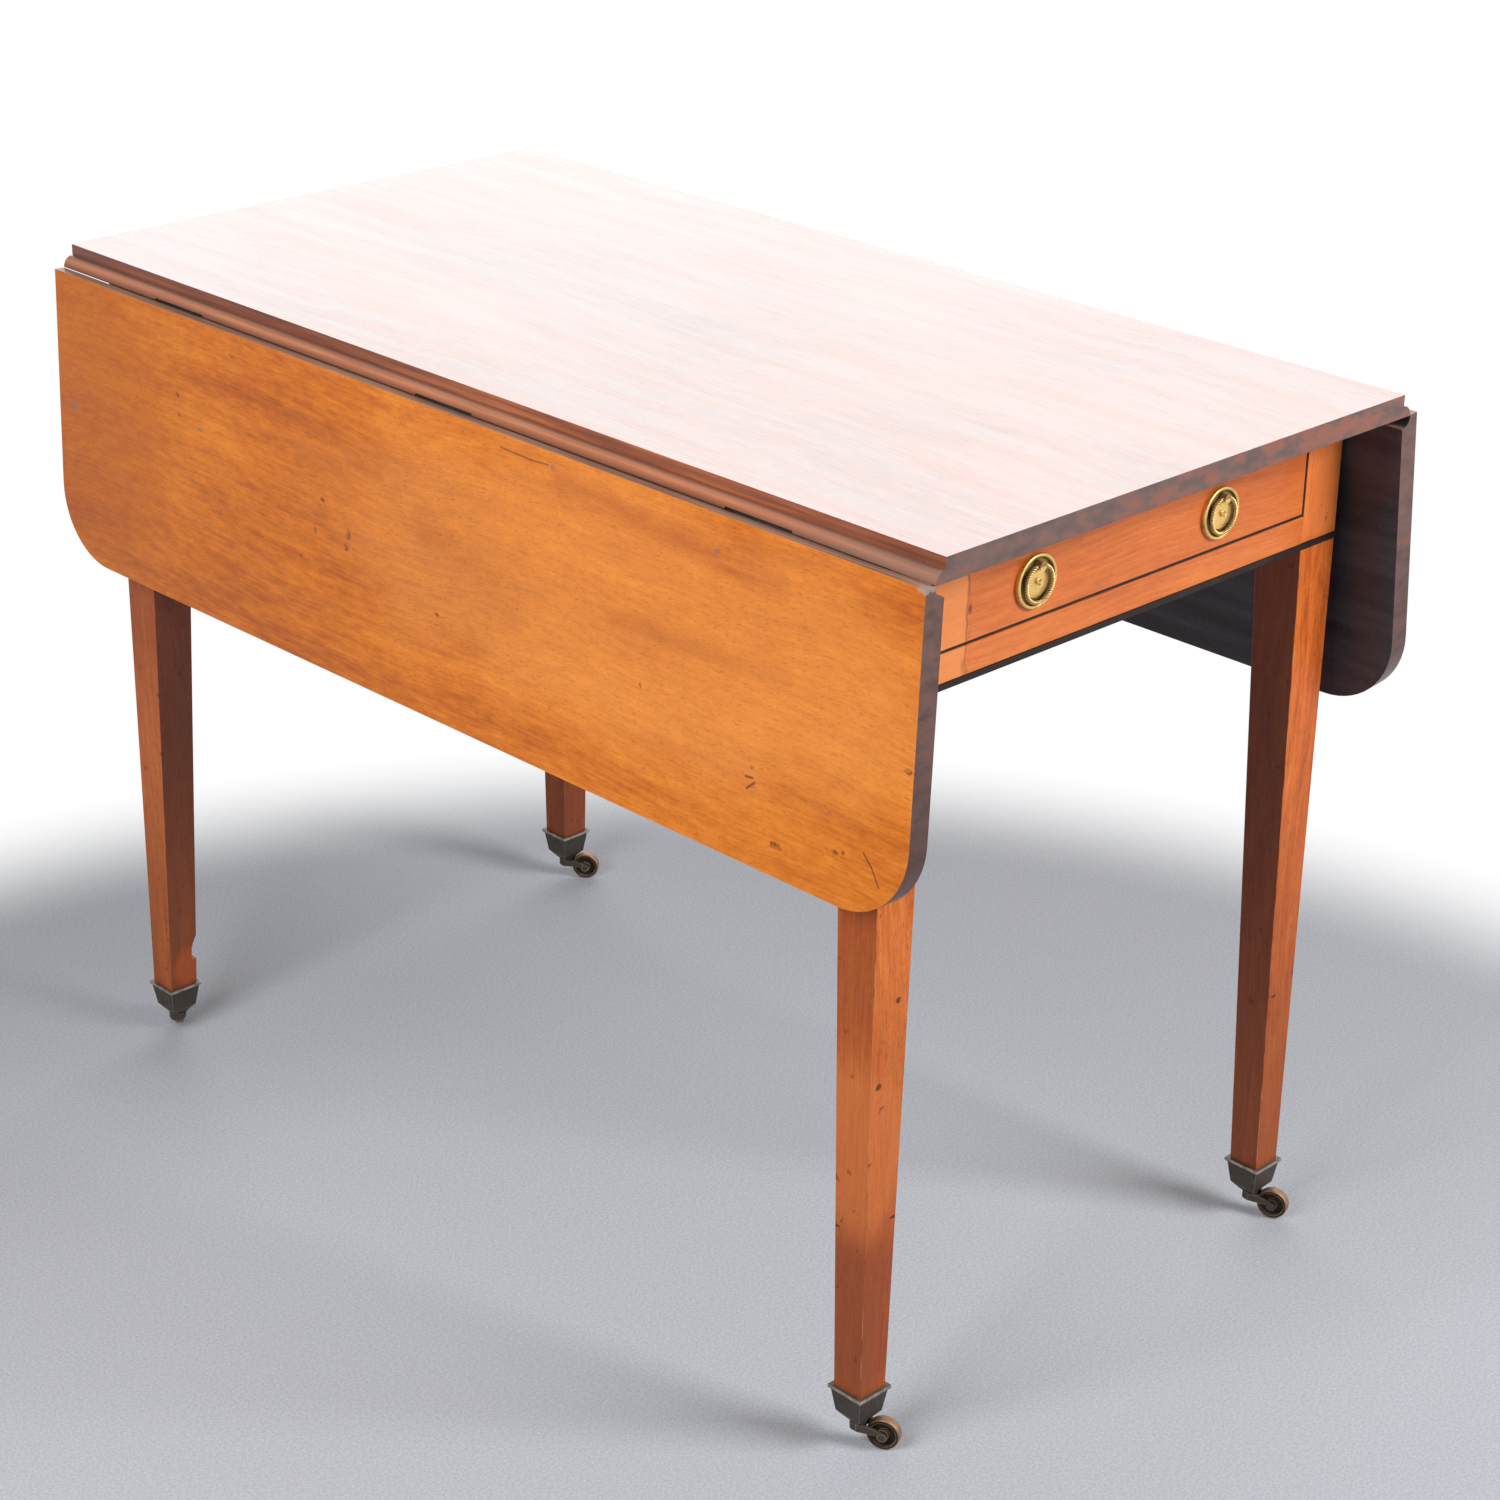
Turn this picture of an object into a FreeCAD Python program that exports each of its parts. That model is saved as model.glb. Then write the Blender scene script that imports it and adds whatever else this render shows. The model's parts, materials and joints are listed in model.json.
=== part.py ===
import FreeCAD, Part
import math
import os

# Pembroke table: a fixed top on four tapered legs, two drop leaves on rule joints,
# a frieze with one end drawer, ring pulls and square brass cup casters.
# Millimetres and degrees, +Z up. The origin is on the floor under the middle of the top.
# The drawer end faces -Y and is called the front. The left side is -X.

Vec = FreeCAD.Vector
ORIGIN = Vec(0, 0, 0)
X = Vec(1, 0, 0)
Y = Vec(0, 1, 0)
Z = Vec(0, 0, 1)

# Whole table
height = 724.0
top_length = 984.0
top_width = 500.0
board_thickness = 18.0
end_overhang = 50.0
cut_overrun = 2.0
hole_clearance = 0.05
running_clearance = 0.05

# Rule joint and drop leaves
rule_fillet = 9.0
rule_gap = 0.5
rule_heel = 0.5
leaf_width = 247.0
leaf_corner_radius = 62.0
left_leaf_hang = 2.0
right_leaf_hang = 5.0
leaf_leg_gap = 1.0

# Back-flap hinges under the rule joint
hinge_length = 64.0
hinge_spacing = 330.0
hinge_plate = 1.8
hinge_top_flap = 26.0
hinge_leaf_flap = 40.0
knuckle_radius = 3.2
knuckle_gap = 0.3
hinge_pin_radius = 1.5
outer_knuckle_share = 0.32
middle_knuckle_share = 0.34

# Countersunk wood screws
screw_head_radius = 3.1
screw_head_depth = 1.5
screw_radius = 1.6
hinge_screw_length = 12.0
hinge_screw_margin = 8.0
top_screw_length = 36.0
top_screw_inset = 60.0

# Legs
leg_side = 42.0
leg_foot = 27.0
leg_tip = 20.4
leg_foot_height = 51.0

# Frieze rails and their tenons
frieze_height = 107.0
lower_rail_height = 26.5
upper_rail_height = 24.0
drawer_rail_depth = 38.0
end_rail_thickness = 20.0
side_rail_thickness = 16.0
tenon_length = 18.0
tenon_thickness = 8.0
tenon_shoulder = 6.0
drawer_rail_tenon_height = 12.0

# Black stringing and the black band along the bottom of the frieze
string_width = 1.8
string_depth = 1.2
string_proud = 0.15
band_height = 4.8
band_depth = 1.6
band_proud = 0.8

# Fly rails with their wooden knuckle joints
fly_setback = 3.0
fly_pivot = 62.0
fly_bracket_length = 172.0
fly_bracket_height = 84.0
fly_bracket_tip = 26.0
fly_bracket_foot = 84.0
fly_clearance = 0.5
fly_knuckle_count = 5
fly_pin_radius = 2.5
ogee_swell_share = 0.09

# Drawer
drawer_length = 560.0
drawer_gap = 0.8
drawer_setback = 0.2
drawer_front_thickness = 20.0
drawer_side_thickness = 9.0
drawer_side_drop = 1.5
drawer_back_thickness = 9.0
drawer_bottom_thickness = 6.0
drawer_bottom_lift = 8.0
drawer_groove = 4.5
dovetail_lap = 7.0
dovetail_neck = 9.0
dovetail_flare = 2.0
dovetail_count = 2
runner_width = 18.0
runner_height = 14.0
stop_length = 34.0
stop_width = 10.0
stop_height = 5.0
stop_spacing = 240.0

# Ring pulls
pull_spacing = 203.0
pull_lift = 1.2
pull_radius = 20.4
pull_rim = 3.6
pull_rim_width = 3.2
pull_field = 0.8
pull_boss_radius = 12.4
pull_boss_edge = 2.2
pull_boss = 3.1
knob_radius = 2.4
knob_height = 3.4
ring_radius = 13.7
ring_wire_radius = 1.6
ring_pivot_rise = 12.2
ring_pivot_proud = 4.8
ring_hole_radius = 2.1
ring_post_radius = 3.3
ring_post_wall = 0.8
pull_bolt_radius = 1.6
pull_nut_radius = 4.2
pull_nut_height = 3.2
pull_bolt_end = 1.5
knob_neck_share = 0.8
knob_tip_share = 0.5

# Cup casters
cap_rim_width = 33.5
cap_rim_thickness = 2.6
cap_wall = 2.0
cap_floor = 3.0
cap_taper_height = 22.5
cap_neck_side = 11.5
cap_neck_height = 8.0
wheel_radius = 13.0
wheel_width = 9.0
wheel_edge_radius = 2.2
wheel_hub_radius = 4.6
wheel_hub_proud = 0.35
wheel_dish_radius = 10.2
wheel_dish_depth = 2.4
caster_trail = 20.0
swivel_gap = 0.3
swivel_boss_radius = 6.4
swivel_boss_height = 6.5
swivel_pin_radius = 2.5
swivel_pin_seat = 4.0
swivel_head_radius = 4.2
swivel_head_height = 1.6
horn_side_gap = 0.6
horn_cheek = 2.2
horn_eye_radius = 4.2
axle_radius = 2.0
axle_head_radius = 3.2
axle_head_height = 0.9
front_left_trail = -62.0
front_right_trail = -69.0
back_left_trail = 52.0
back_right_trail = -51.0

# Places that follow from the sizes above
underside = height - board_thickness
half_width = top_width / 2
half_length = top_length / 2
rule_radius = board_thickness - rule_fillet
leg_x = half_width - leaf_leg_gap
leg_y = half_length - end_overhang
leg_inner_x = leg_x - leg_side
leg_inner_y = leg_y - leg_side
foot_x = leg_x - leg_foot / 2
foot_y = leg_y - leg_foot / 2
frieze_bottom = underside - frieze_height
opening_bottom = frieze_bottom + lower_rail_height
opening_top = underside - upper_rail_height
rail_back_y = leg_y - drawer_rail_depth
end_rail_y = leg_y - end_rail_thickness
fly_outer_x = leg_x - fly_setback
fly_inner_x = leg_inner_x + side_rail_thickness
fly_thickness = fly_outer_x - fly_inner_x
fly_axis_x = (fly_outer_x + fly_inner_x) / 2
front_half_width = leg_inner_x - drawer_gap
front_bottom = opening_bottom + drawer_gap
front_top = opening_top - drawer_gap
front_face_y = -leg_y + drawer_setback
front_back_y = front_face_y + drawer_front_thickness
drawer_end_y = front_face_y + drawer_length
drawer_bottom_z = opening_bottom + drawer_bottom_lift
side_inner_x = front_half_width - drawer_side_thickness
pull_z = (front_bottom + front_top) / 2 + pull_lift
hinge_places = (-hinge_spacing, 0, hinge_spacing)
corners = {
    "front_left": (-1, -1, front_left_trail),
    "front_right": (1, -1, front_right_trail),
    "back_left": (-1, 1, back_left_trail),
    "back_right": (1, 1, back_right_trail),
}


# Helpers
def box(x0, x1, y0, y1, z0, z1):
    return Part.makeBox(x1 - x0, y1 - y0, z1 - z0, Vec(x0, y0, z0))


def rod(radius, length, start, direction):
    return Part.makeCylinder(radius, length, start, direction)


def prism(points, along):
    wire = Part.makePolygon(points + points[:1])
    return Part.Face(wire).extrude(along)


def union(shapes):
    return shapes[0].multiFuse(shapes[1:]).removeSplitter()


def without(shape, cutters):
    return shape.cut(Part.makeCompound(cutters))


def flipped(shape, side_x, side_y):
    """A piece drawn on the +X +Y corner, moved to another corner."""
    result = shape
    if side_x < 0:
        result = result.mirror(ORIGIN, X)
    if side_y < 0:
        result = result.mirror(ORIGIN, Y)
    return result


def square(centre_x, centre_y, side, z):
    half = side / 2
    points = [
        Vec(centre_x - half, centre_y - half, z),
        Vec(centre_x + half, centre_y - half, z),
        Vec(centre_x + half, centre_y + half, z),
        Vec(centre_x - half, centre_y + half, z),
    ]
    return Part.makePolygon(points + points[:1])


def taper(lower, upper):
    return Part.makeLoft([lower, upper], True, True)


def screw(start, direction, length, clearance=0):
    """Countersunk screw with the flat of its head at start and its point along direction."""
    head = Part.makeCone(
        screw_head_radius + clearance, screw_radius + clearance, screw_head_depth, start, direction
    )
    shank = rod(screw_radius + clearance, length + clearance, start, direction)
    return head.fuse(shank)


def group(shapes):
    return Part.makeCompound([solid for shape in shapes for solid in shape.Solids])


def save(name, shape):
    group([shape]).exportStep("parts/" + name + ".step")


# Back-flap hinges, drawn on the right with the leaf hanging plumb
def hinge_axis(y):
    return Vec(half_width, y, underside)


def top_flap_screws():
    across = half_width - hinge_top_flap + hinge_screw_margin
    reach = hinge_length / 2 - hinge_screw_margin
    return [Vec(across, y + side * reach, underside) for y in hinge_places for side in (-1, 1)]


def leaf_flap_screws():
    reach = hinge_length / 2 - hinge_screw_margin
    low = underside - hinge_leaf_flap + hinge_screw_margin
    high = (low + underside - knuckle_radius) / 2
    spots = ((-reach, low), (0, high), (reach, low))
    return [Vec(half_width, y + along, z) for y in hinge_places for along, z in spots]


def middle_knuckle(y, radius, share):
    """Middle length of the hinge barrel, as a share of the hinge's length."""
    length = hinge_length * share
    return rod(radius, length, hinge_axis(y) - Y * (length / 2), Y)


def outer_knuckles(y, radius, share):
    """Both end lengths of the hinge barrel, each a share of the hinge's length."""
    length = hinge_length * share
    starts = (y - hinge_length / 2, y + hinge_length / 2 - length)
    return [rod(radius, length, hinge_axis(start), Y) for start in starts]


def hinge_top_plates():
    plates = []
    for y in hinge_places:
        flap = box(
            half_width - hinge_top_flap, half_width,
            y - hinge_length / 2, y + hinge_length / 2, underside, underside + hinge_plate,
        )
        plate = flap.cut(middle_knuckle(y, knuckle_radius + knuckle_gap, 1 - 2 * outer_knuckle_share))
        barrels = outer_knuckles(y, knuckle_radius, outer_knuckle_share)
        plates.append(union([plate] + barrels).cut(hinge_bore(y, hole_clearance)))
    holes = [screw(spot, Z, hinge_screw_length, hole_clearance) for spot in top_flap_screws()]
    return without(group(plates), holes)


def hinge_leaf_plates():
    plates = []
    for y in hinge_places:
        flap = box(
            half_width, half_width + hinge_plate,
            y - hinge_length / 2, y + hinge_length / 2, underside - hinge_leaf_flap, underside,
        )
        gaps = outer_knuckles(y, knuckle_radius + knuckle_gap, (1 - middle_knuckle_share) / 2)
        barrel = middle_knuckle(y, knuckle_radius, middle_knuckle_share)
        plates.append(union([without(flap, gaps), barrel]).cut(hinge_bore(y, running_clearance)))
    holes = [screw(spot, X, hinge_screw_length, hole_clearance) for spot in leaf_flap_screws()]
    return without(group(plates), holes)


def hinge_bore(y, clearance):
    start = hinge_axis(y) - Y * (hinge_length / 2 + cut_overrun)
    return rod(hinge_pin_radius + clearance, hinge_length + 2 * cut_overrun, start, Y)


def hinge_pins():
    starts = [hinge_axis(y) - Y * (hinge_length / 2) for y in hinge_places]
    return [rod(hinge_pin_radius, hinge_length, start, Y) for start in starts]


# Top board with an ovolo along each side, recessed for the hinges
def rule_profile(side):
    """Points down one side of the board: arris, fillet, quarter round, and its worn heel."""
    reach = math.sqrt(rule_radius * (rule_radius - 2 * rule_heel))
    turn = math.atan2(rule_heel, reach)
    upright = math.pi / 2

    def on_arc(centre_x, centre_z, radius, angle):
        out = half_width + centre_x + radius * math.cos(angle)
        return Vec(side * out, -half_length, underside + centre_z + radius * math.sin(angle))

    return (
        Vec(side * half_width, -half_length, height),
        on_arc(0, 0, rule_radius, upright),
        on_arc(0, 0, rule_radius, (upright + turn) / 2),
        on_arc(0, 0, rule_radius, turn),
        on_arc(reach, rule_heel, rule_heel, (turn - upright) / 2),
        on_arc(reach, rule_heel, rule_heel, -upright),
    )


def top_section():
    """Wire across the board, with the rule joint's profile on both sides."""
    left, right = rule_profile(-1), rule_profile(1)
    edges = [
        Part.makeLine(left[0], right[0]),
        Part.makeLine(right[0], right[1]),
        Part.Arc(right[1], right[2], right[3]).toShape(),
        Part.Arc(right[3], right[4], right[5]).toShape(),
        Part.makeLine(right[5], left[5]),
        Part.Arc(left[5], left[4], left[3]).toShape(),
        Part.Arc(left[3], left[2], left[1]).toShape(),
        Part.makeLine(left[1], left[0]),
    ]
    return Part.Wire(edges)


def hinge_recesses():
    """Room in the right side of the top for flaps and barrels, also with the leaf raised."""
    room = []
    reach = hinge_length / 2
    free = reach + knuckle_gap
    for y in hinge_places:
        room.append(
            box(
                half_width - hinge_top_flap, half_width, y - reach, y + reach,
                underside - cut_overrun, underside + hinge_plate,
            )
        )
        room.append(
            box(
                half_width, half_width + rule_radius + cut_overrun, y - free, y + free,
                underside - cut_overrun, underside + hinge_plate + knuckle_gap,
            )
        )
        room.append(rod(knuckle_radius + knuckle_gap, 2 * free, hinge_axis(y) - Y * free, Y))
    room += [screw(spot, Z, hinge_screw_length, hole_clearance) for spot in top_flap_screws()]
    return room


def top_board():
    board = Part.Face(top_section()).extrude(Y * top_length)
    right = hinge_recesses()
    left = [flipped(cutter, -1, 1) for cutter in right]
    screws = [screw(spot, Z, top_screw_length, hole_clearance) for spot in top_screw_places()]
    return without(board, right + left + screws)


# Drop leaf, drawn hanging plumb on the right
def plumb_leaf():
    inner = half_width
    outer = half_width + board_thickness
    top = underside - rule_gap
    bottom = underside - leaf_width
    corner = leaf_corner_radius
    bulge = corner * (1 - math.sqrt(1 / 2))
    near, far = -half_length, half_length
    edges = [
        Part.makeLine(Vec(inner, near, top), Vec(inner, near, bottom + corner)),
        Part.Arc(
            Vec(inner, near, bottom + corner),
            Vec(inner, near + bulge, bottom + bulge),
            Vec(inner, near + corner, bottom),
        ).toShape(),
        Part.makeLine(Vec(inner, near + corner, bottom), Vec(inner, far - corner, bottom)),
        Part.Arc(
            Vec(inner, far - corner, bottom),
            Vec(inner, far - bulge, bottom + bulge),
            Vec(inner, far, bottom + corner),
        ).toShape(),
        Part.makeLine(Vec(inner, far, bottom + corner), Vec(inner, far, top)),
        Part.makeLine(Vec(inner, far, top), Vec(inner, near, top)),
    ]
    slab = Part.Face(Part.Wire(edges)).extrude(X * (outer - inner))
    start = Vec(half_width, near - cut_overrun, underside)
    cove = rod(rule_radius + rule_gap, top_length + 2 * cut_overrun, start, Y)
    cutters = [cove]
    for y in hinge_places:
        cutters.append(
            box(
                half_width - cut_overrun, half_width + hinge_plate,
                y - hinge_length / 2, y + hinge_length / 2, underside - hinge_leaf_flap, underside,
            )
        )
    cutters += [screw(spot, X, hinge_screw_length, hole_clearance) for spot in leaf_flap_screws()]
    return without(slab, cutters)


def hung(shape, side):
    """A leaf's piece on its own side, swung out to where the leaf hangs."""
    piece = flipped(shape, side, 1).copy()
    angle = right_leaf_hang if side > 0 else left_leaf_hang
    piece.rotate(Vec(side * half_width, 0, underside), Y * -side, angle)
    return piece


# Legs, drawn on the +X +Y corner: the outer faces are plumb, the inner faces taper
def leg_mortises():
    slack = hole_clearance
    low = frieze_bottom + tenon_shoulder - slack
    high = underside - tenon_shoulder + slack
    middle = leg_inner_x + side_rail_thickness / 2
    half = tenon_thickness / 2 + slack
    start = leg_inner_y - cut_overrun
    end = leg_inner_y + tenon_length + slack
    return [box(middle - half, middle + half, start, end, low, high)]


def end_tenon_y():
    return leg_y - end_rail_thickness / 2


def leg(side_x, side_y):
    post = box(leg_inner_x, leg_x, leg_inner_y, leg_y, frieze_bottom, underside)
    knee = square(leg_x - leg_side / 2, leg_y - leg_side / 2, leg_side, frieze_bottom)
    foot = square(foot_x, foot_y, leg_foot, leg_foot_height)
    shank = taper(foot, knee)
    tip = taper(square(foot_x, foot_y, leg_tip, leg_tip_z()), foot)
    solid = flipped(union([post, shank, tip]), side_x, side_y)
    cutters = [flipped(cutter, side_x, side_y) for cutter in leg_mortises()]
    cutters += end_mortises(side_y)
    cutters.append(band(side_y))
    return without(solid, cutters)


def leg_tip_z():
    return leg_foot_height - cap_taper_height + cap_floor


# Rails
def end_tenon(z0, z1, length, slack):
    """Tenons past both ends of a rail that runs across the front or back, drawn on the +Y end."""
    middle = end_tenon_y()
    half = tenon_thickness / 2 + slack
    reach = leg_inner_x + length + slack
    return box(-reach, reach, middle - half, middle + half, z0 - slack, z1 + slack)


def end_mortises(side_y):
    slack = hole_clearance
    if side_y > 0:
        return [end_tenon(frieze_bottom + tenon_shoulder, underside - tenon_shoulder, tenon_reach(), slack)]
    heights = (lower_tenon_heights(), upper_tenon_heights())
    return [flipped(end_tenon(low, high, tenon_reach(), slack), 1, -1) for low, high in heights]


def tenon_reach():
    """End tenons stop short of the side tenons in the same leg."""
    return (side_rail_thickness - tenon_thickness) / 2 - hole_clearance * 2


def lower_tenon_heights():
    low = frieze_bottom + tenon_shoulder
    return low, low + drawer_rail_tenon_height


def upper_tenon_heights():
    high = underside - tenon_shoulder
    return high - drawer_rail_tenon_height, high


def band(side_y):
    """Black band across the legs and rail at the bottom of one end."""
    strip = box(
        -leg_x, leg_x, leg_y - band_depth, leg_y + band_proud, frieze_bottom, frieze_bottom + band_height
    )
    return flipped(strip, 1, side_y)


def lower_drawer_rail():
    bar = box(-leg_inner_x, leg_inner_x, rail_back_y, leg_y, frieze_bottom, opening_bottom)
    bar = union([bar, end_tenon(*lower_tenon_heights(), tenon_reach(), 0)])
    return flipped(bar, 1, -1).cut(band(-1))


def upper_drawer_rail():
    bar = box(-leg_inner_x, leg_inner_x, rail_back_y, leg_y, opening_top, underside)
    bar = flipped(union([bar, end_tenon(*upper_tenon_heights(), tenon_reach(), 0)]), 1, -1)
    holes = [screw(spot, Z, top_screw_length, hole_clearance) for spot in top_screw_places()]
    return without(bar, holes)


def back_rail():
    board = box(-leg_inner_x, leg_inner_x, end_rail_y, leg_y, frieze_bottom, underside)
    low = frieze_bottom + tenon_shoulder
    board = union([board, end_tenon(low, underside - tenon_shoulder, tenon_reach(), 0)])
    cutters = [band(1)] + [flipped(strip, 1, -1) for strip in string_rebates()]
    cutters += [pull_bolt_hole(side, 1, end_rail_thickness) for side in (-1, 1)]
    return without(board, cutters)


def side_rail(side):
    board = box(leg_inner_x, fly_inner_x, -leg_inner_y, leg_inner_y, frieze_bottom, underside)
    middle = (leg_inner_x + fly_inner_x) / 2
    half = tenon_thickness / 2
    reach = leg_inner_y + tenon_length
    low = frieze_bottom + tenon_shoulder
    high = underside - tenon_shoulder
    tenons = box(middle - half, middle + half, -reach, reach, low, high)
    return flipped(union([board, tenons]), side, 1)


# Fly rails and brackets, drawn on the +X +Y quarter
def fly_pivot_point(z):
    return Vec(fly_axis_x, fly_pivot, z)


def fly_knuckles(radius, first):
    """Every other length of the wooden knuckle, counted from the top."""
    step = fly_bracket_height / fly_knuckle_count
    top = underside - fly_clearance
    return [
        rod(radius, step, fly_pivot_point(top - step * (index + 1)), Z)
        for index in range(first, fly_knuckle_count, 2)
    ]


def fly_pin_hole():
    start = fly_pivot_point(underside - fly_clearance - fly_bracket_height - cut_overrun)
    return rod(fly_pin_radius + hole_clearance, fly_bracket_height + 2 * cut_overrun, start, Z)


def fly_block(side):
    """Fixed middle of the fly rail and its two fixed ends."""
    radius = fly_thickness / 2
    low = underside - fly_clearance - fly_bracket_height
    middle = box(fly_inner_x, fly_outer_x, -fly_pivot, fly_pivot, low, underside)
    for side_y in (-1, 1):
        barrels = [flipped(barrel, 1, side_y) for barrel in fly_knuckles(radius, 0)]
        room = [flipped(barrel, 1, side_y) for barrel in fly_knuckles(radius + fly_clearance, 1)]
        middle = without(union([middle] + barrels), room + [flipped(fly_pin_hole(), 1, side_y)])
    start = fly_pivot + fly_bracket_length + fly_clearance
    end = box(fly_inner_x, fly_outer_x, start, leg_inner_y, frieze_bottom, underside)
    return flipped(group([middle, end, flipped(end, 1, -1)]), side, 1)


def fly_bracket(side_x, side_y):
    """Bracket with a square tip and an ogee that sweeps down to its foot."""
    top = underside - fly_clearance
    low = top - fly_bracket_height
    tip = fly_pivot + fly_bracket_length
    foot = fly_pivot + fly_bracket_foot
    tip_low = top - fly_bracket_tip
    middle = Vec(fly_inner_x, (tip + foot) / 2, (tip_low + low) / 2)
    upper_end = Vec(fly_inner_x, tip, tip_low)
    lower_end = Vec(fly_inner_x, foot, low)
    swell = (upper_end - lower_end).Length * ogee_swell_share
    across = Vec(0, upper_end.z - lower_end.z, lower_end.y - upper_end.y).normalize()
    edges = [
        Part.makeLine(Vec(fly_inner_x, fly_pivot, low), Vec(fly_inner_x, fly_pivot, top)),
        Part.makeLine(Vec(fly_inner_x, fly_pivot, top), Vec(fly_inner_x, tip, top)),
        Part.makeLine(Vec(fly_inner_x, tip, top), upper_end),
        Part.Arc(upper_end, (upper_end + middle) * (1 / 2) - across * swell, middle).toShape(),
        Part.Arc(middle, (middle + lower_end) * (1 / 2) + across * swell, lower_end).toShape(),
        Part.makeLine(lower_end, Vec(fly_inner_x, fly_pivot, low)),
    ]
    plate = Part.Face(Part.Wire(edges)).extrude(X * fly_thickness)
    radius = fly_thickness / 2
    plate = union([plate] + fly_knuckles(radius, 1))
    plate = without(plate, fly_knuckles(radius + fly_clearance, 0) + [fly_pin_hole()])
    return flipped(plate, side_x, side_y)


def fly_pins():
    length = fly_bracket_height
    pin = rod(fly_pin_radius, length, fly_pivot_point(underside - fly_clearance - length), Z)
    return [flipped(pin, side_x, side_y) for side_x in (-1, 1) for side_y in (-1, 1)]


# Drawer runners, kickers, stops and the screws that hold the top
def drawer_runner(side):
    bar = box(
        leg_inner_x - runner_width, leg_inner_x, -rail_back_y, end_rail_y,
        opening_bottom - runner_height, opening_bottom,
    )
    return flipped(bar, side, 1)


def top_screw_places():
    places = [Vec(side * top_screw_inset, -(leg_y + rail_back_y) / 2, screw_head_z()) for side in (-1, 1)]
    across = leg_inner_x - runner_width / 2
    along = rail_back_y - top_screw_inset
    for side in (-1, 1):
        places += [Vec(side * across, y, screw_head_z()) for y in (-along, 0, along)]
    return places


def screw_head_z():
    return opening_top


def drawer_kickers():
    bar = box(leg_inner_x - runner_width, leg_inner_x, -rail_back_y, end_rail_y, opening_top, underside)
    holes = [screw(spot, Z, top_screw_length, hole_clearance) for spot in top_screw_places()]
    return without(group([bar, flipped(bar, -1, 1)]), holes)


def top_screws():
    return group([screw(spot, Z, top_screw_length) for spot in top_screw_places()])


def drawer_stops():
    start = stop_spacing / 2 - stop_length / 2
    block = box(
        start, start + stop_length, front_back_y, front_back_y + stop_width,
        opening_bottom, opening_bottom + stop_height,
    )
    return group([block, flipped(block, -1, 1)])


# Stringing round the drawer front, and the same on the back rail
def string_strips(face_y, depth, proud):
    near = face_y - proud
    far = face_y + depth
    wide = front_half_width
    inner = wide - string_width
    low, high = front_bottom, front_top
    return [
        box(-wide, wide, near, far, low, low + string_width),
        box(-wide, wide, near, far, high - string_width, high),
        box(-wide, -inner, near, far, low + string_width, high - string_width),
        box(inner, wide, near, far, low + string_width, high - string_width),
    ]


def drawer_stringing():
    return group(string_strips(front_face_y, string_depth, string_proud))


def back_stringing():
    return flipped(group(string_strips(-leg_y, string_depth, string_proud)), 1, -1)


def string_rebates():
    return string_strips(-leg_y, string_depth, cut_overrun)


# Drawer with dovetailed corners
def dovetails(base_y, tip_y):
    """Tails of the right side, widening from base to tip."""
    bottom = drawer_bottom_z + drawer_bottom_thickness
    top = front_top - drawer_side_drop
    pitch = (top - bottom) / dovetail_count
    tails = []
    for index in range(dovetail_count):
        centre = bottom + pitch * (index + 1 / 2)
        narrow = dovetail_neck / 2
        wide = narrow + dovetail_flare
        outline = [
            Vec(side_inner_x, base_y, centre - narrow),
            Vec(side_inner_x, base_y, centre + narrow),
            Vec(side_inner_x, tip_y, centre + wide),
            Vec(side_inner_x, tip_y, centre - wide),
        ]
        tails.append(prism(outline, X * drawer_side_thickness))
    return tails


def front_tails():
    return dovetails(front_back_y, front_face_y + dovetail_lap)


def back_tails():
    return dovetails(drawer_end_y - drawer_back_thickness, drawer_end_y)


def both_sides(shapes):
    return shapes + [flipped(shape, -1, 1) for shape in shapes]


def drawer_bottom():
    wide = side_inner_x + drawer_groove
    return box(
        -wide, wide, front_back_y - drawer_groove, drawer_end_y,
        drawer_bottom_z, drawer_bottom_z + drawer_bottom_thickness,
    )


def drawer_front():
    board = box(-front_half_width, front_half_width, front_face_y, front_back_y, front_bottom, front_top)
    cutters = both_sides(front_tails()) + [drawer_bottom()]
    cutters += string_strips(front_face_y, string_depth, cut_overrun)
    cutters += [pull_bolt_hole(side, -1, drawer_front_thickness) for side in (-1, 1)]
    return without(board, cutters)


def drawer_side(side):
    back = drawer_end_y - drawer_back_thickness
    top = front_top - drawer_side_drop
    board = box(side_inner_x, front_half_width, front_back_y, back, opening_bottom, top)
    board = union([board] + front_tails() + back_tails())
    return flipped(board.cut(drawer_bottom()), side, 1)


def drawer_back():
    low = drawer_bottom_z + drawer_bottom_thickness
    top = front_top - drawer_side_drop
    start = drawer_end_y - drawer_back_thickness
    board = box(-front_half_width, front_half_width, start, drawer_end_y, low, top)
    return without(board, both_sides(back_tails()))


# Ring pulls, drawn at the left end of the front and moved to the other places
def pull_centre():
    return Vec(-pull_spacing / 2, front_face_y, pull_z)


def placed_pull(shape, side_x, side_y):
    """A pull's piece carried to one end of the front, or of the back, without mirroring it."""
    piece = shape.copy()
    if side_x > 0:
        piece.translate(X * pull_spacing)
    if side_y > 0:
        piece = piece.mirror(ORIGIN, Y)
        piece.translate(Y * (leg_y + front_face_y))
    return piece


def pull_bolt_hole(side_x, side_y, wall):
    start = pull_centre() - Y * cut_overrun
    hole = rod(pull_bolt_radius + hole_clearance, wall + 2 * cut_overrun, start, Y)
    return placed_pull(hole, side_x, side_y)


def dome_height(radius, rise, at):
    """Height of a shallow dome over its edge, at a distance from its axis."""
    ball = (radius * radius + rise * rise) / (2 * rise)
    return math.sqrt(ball * ball - at * at) - ball + rise


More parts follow.
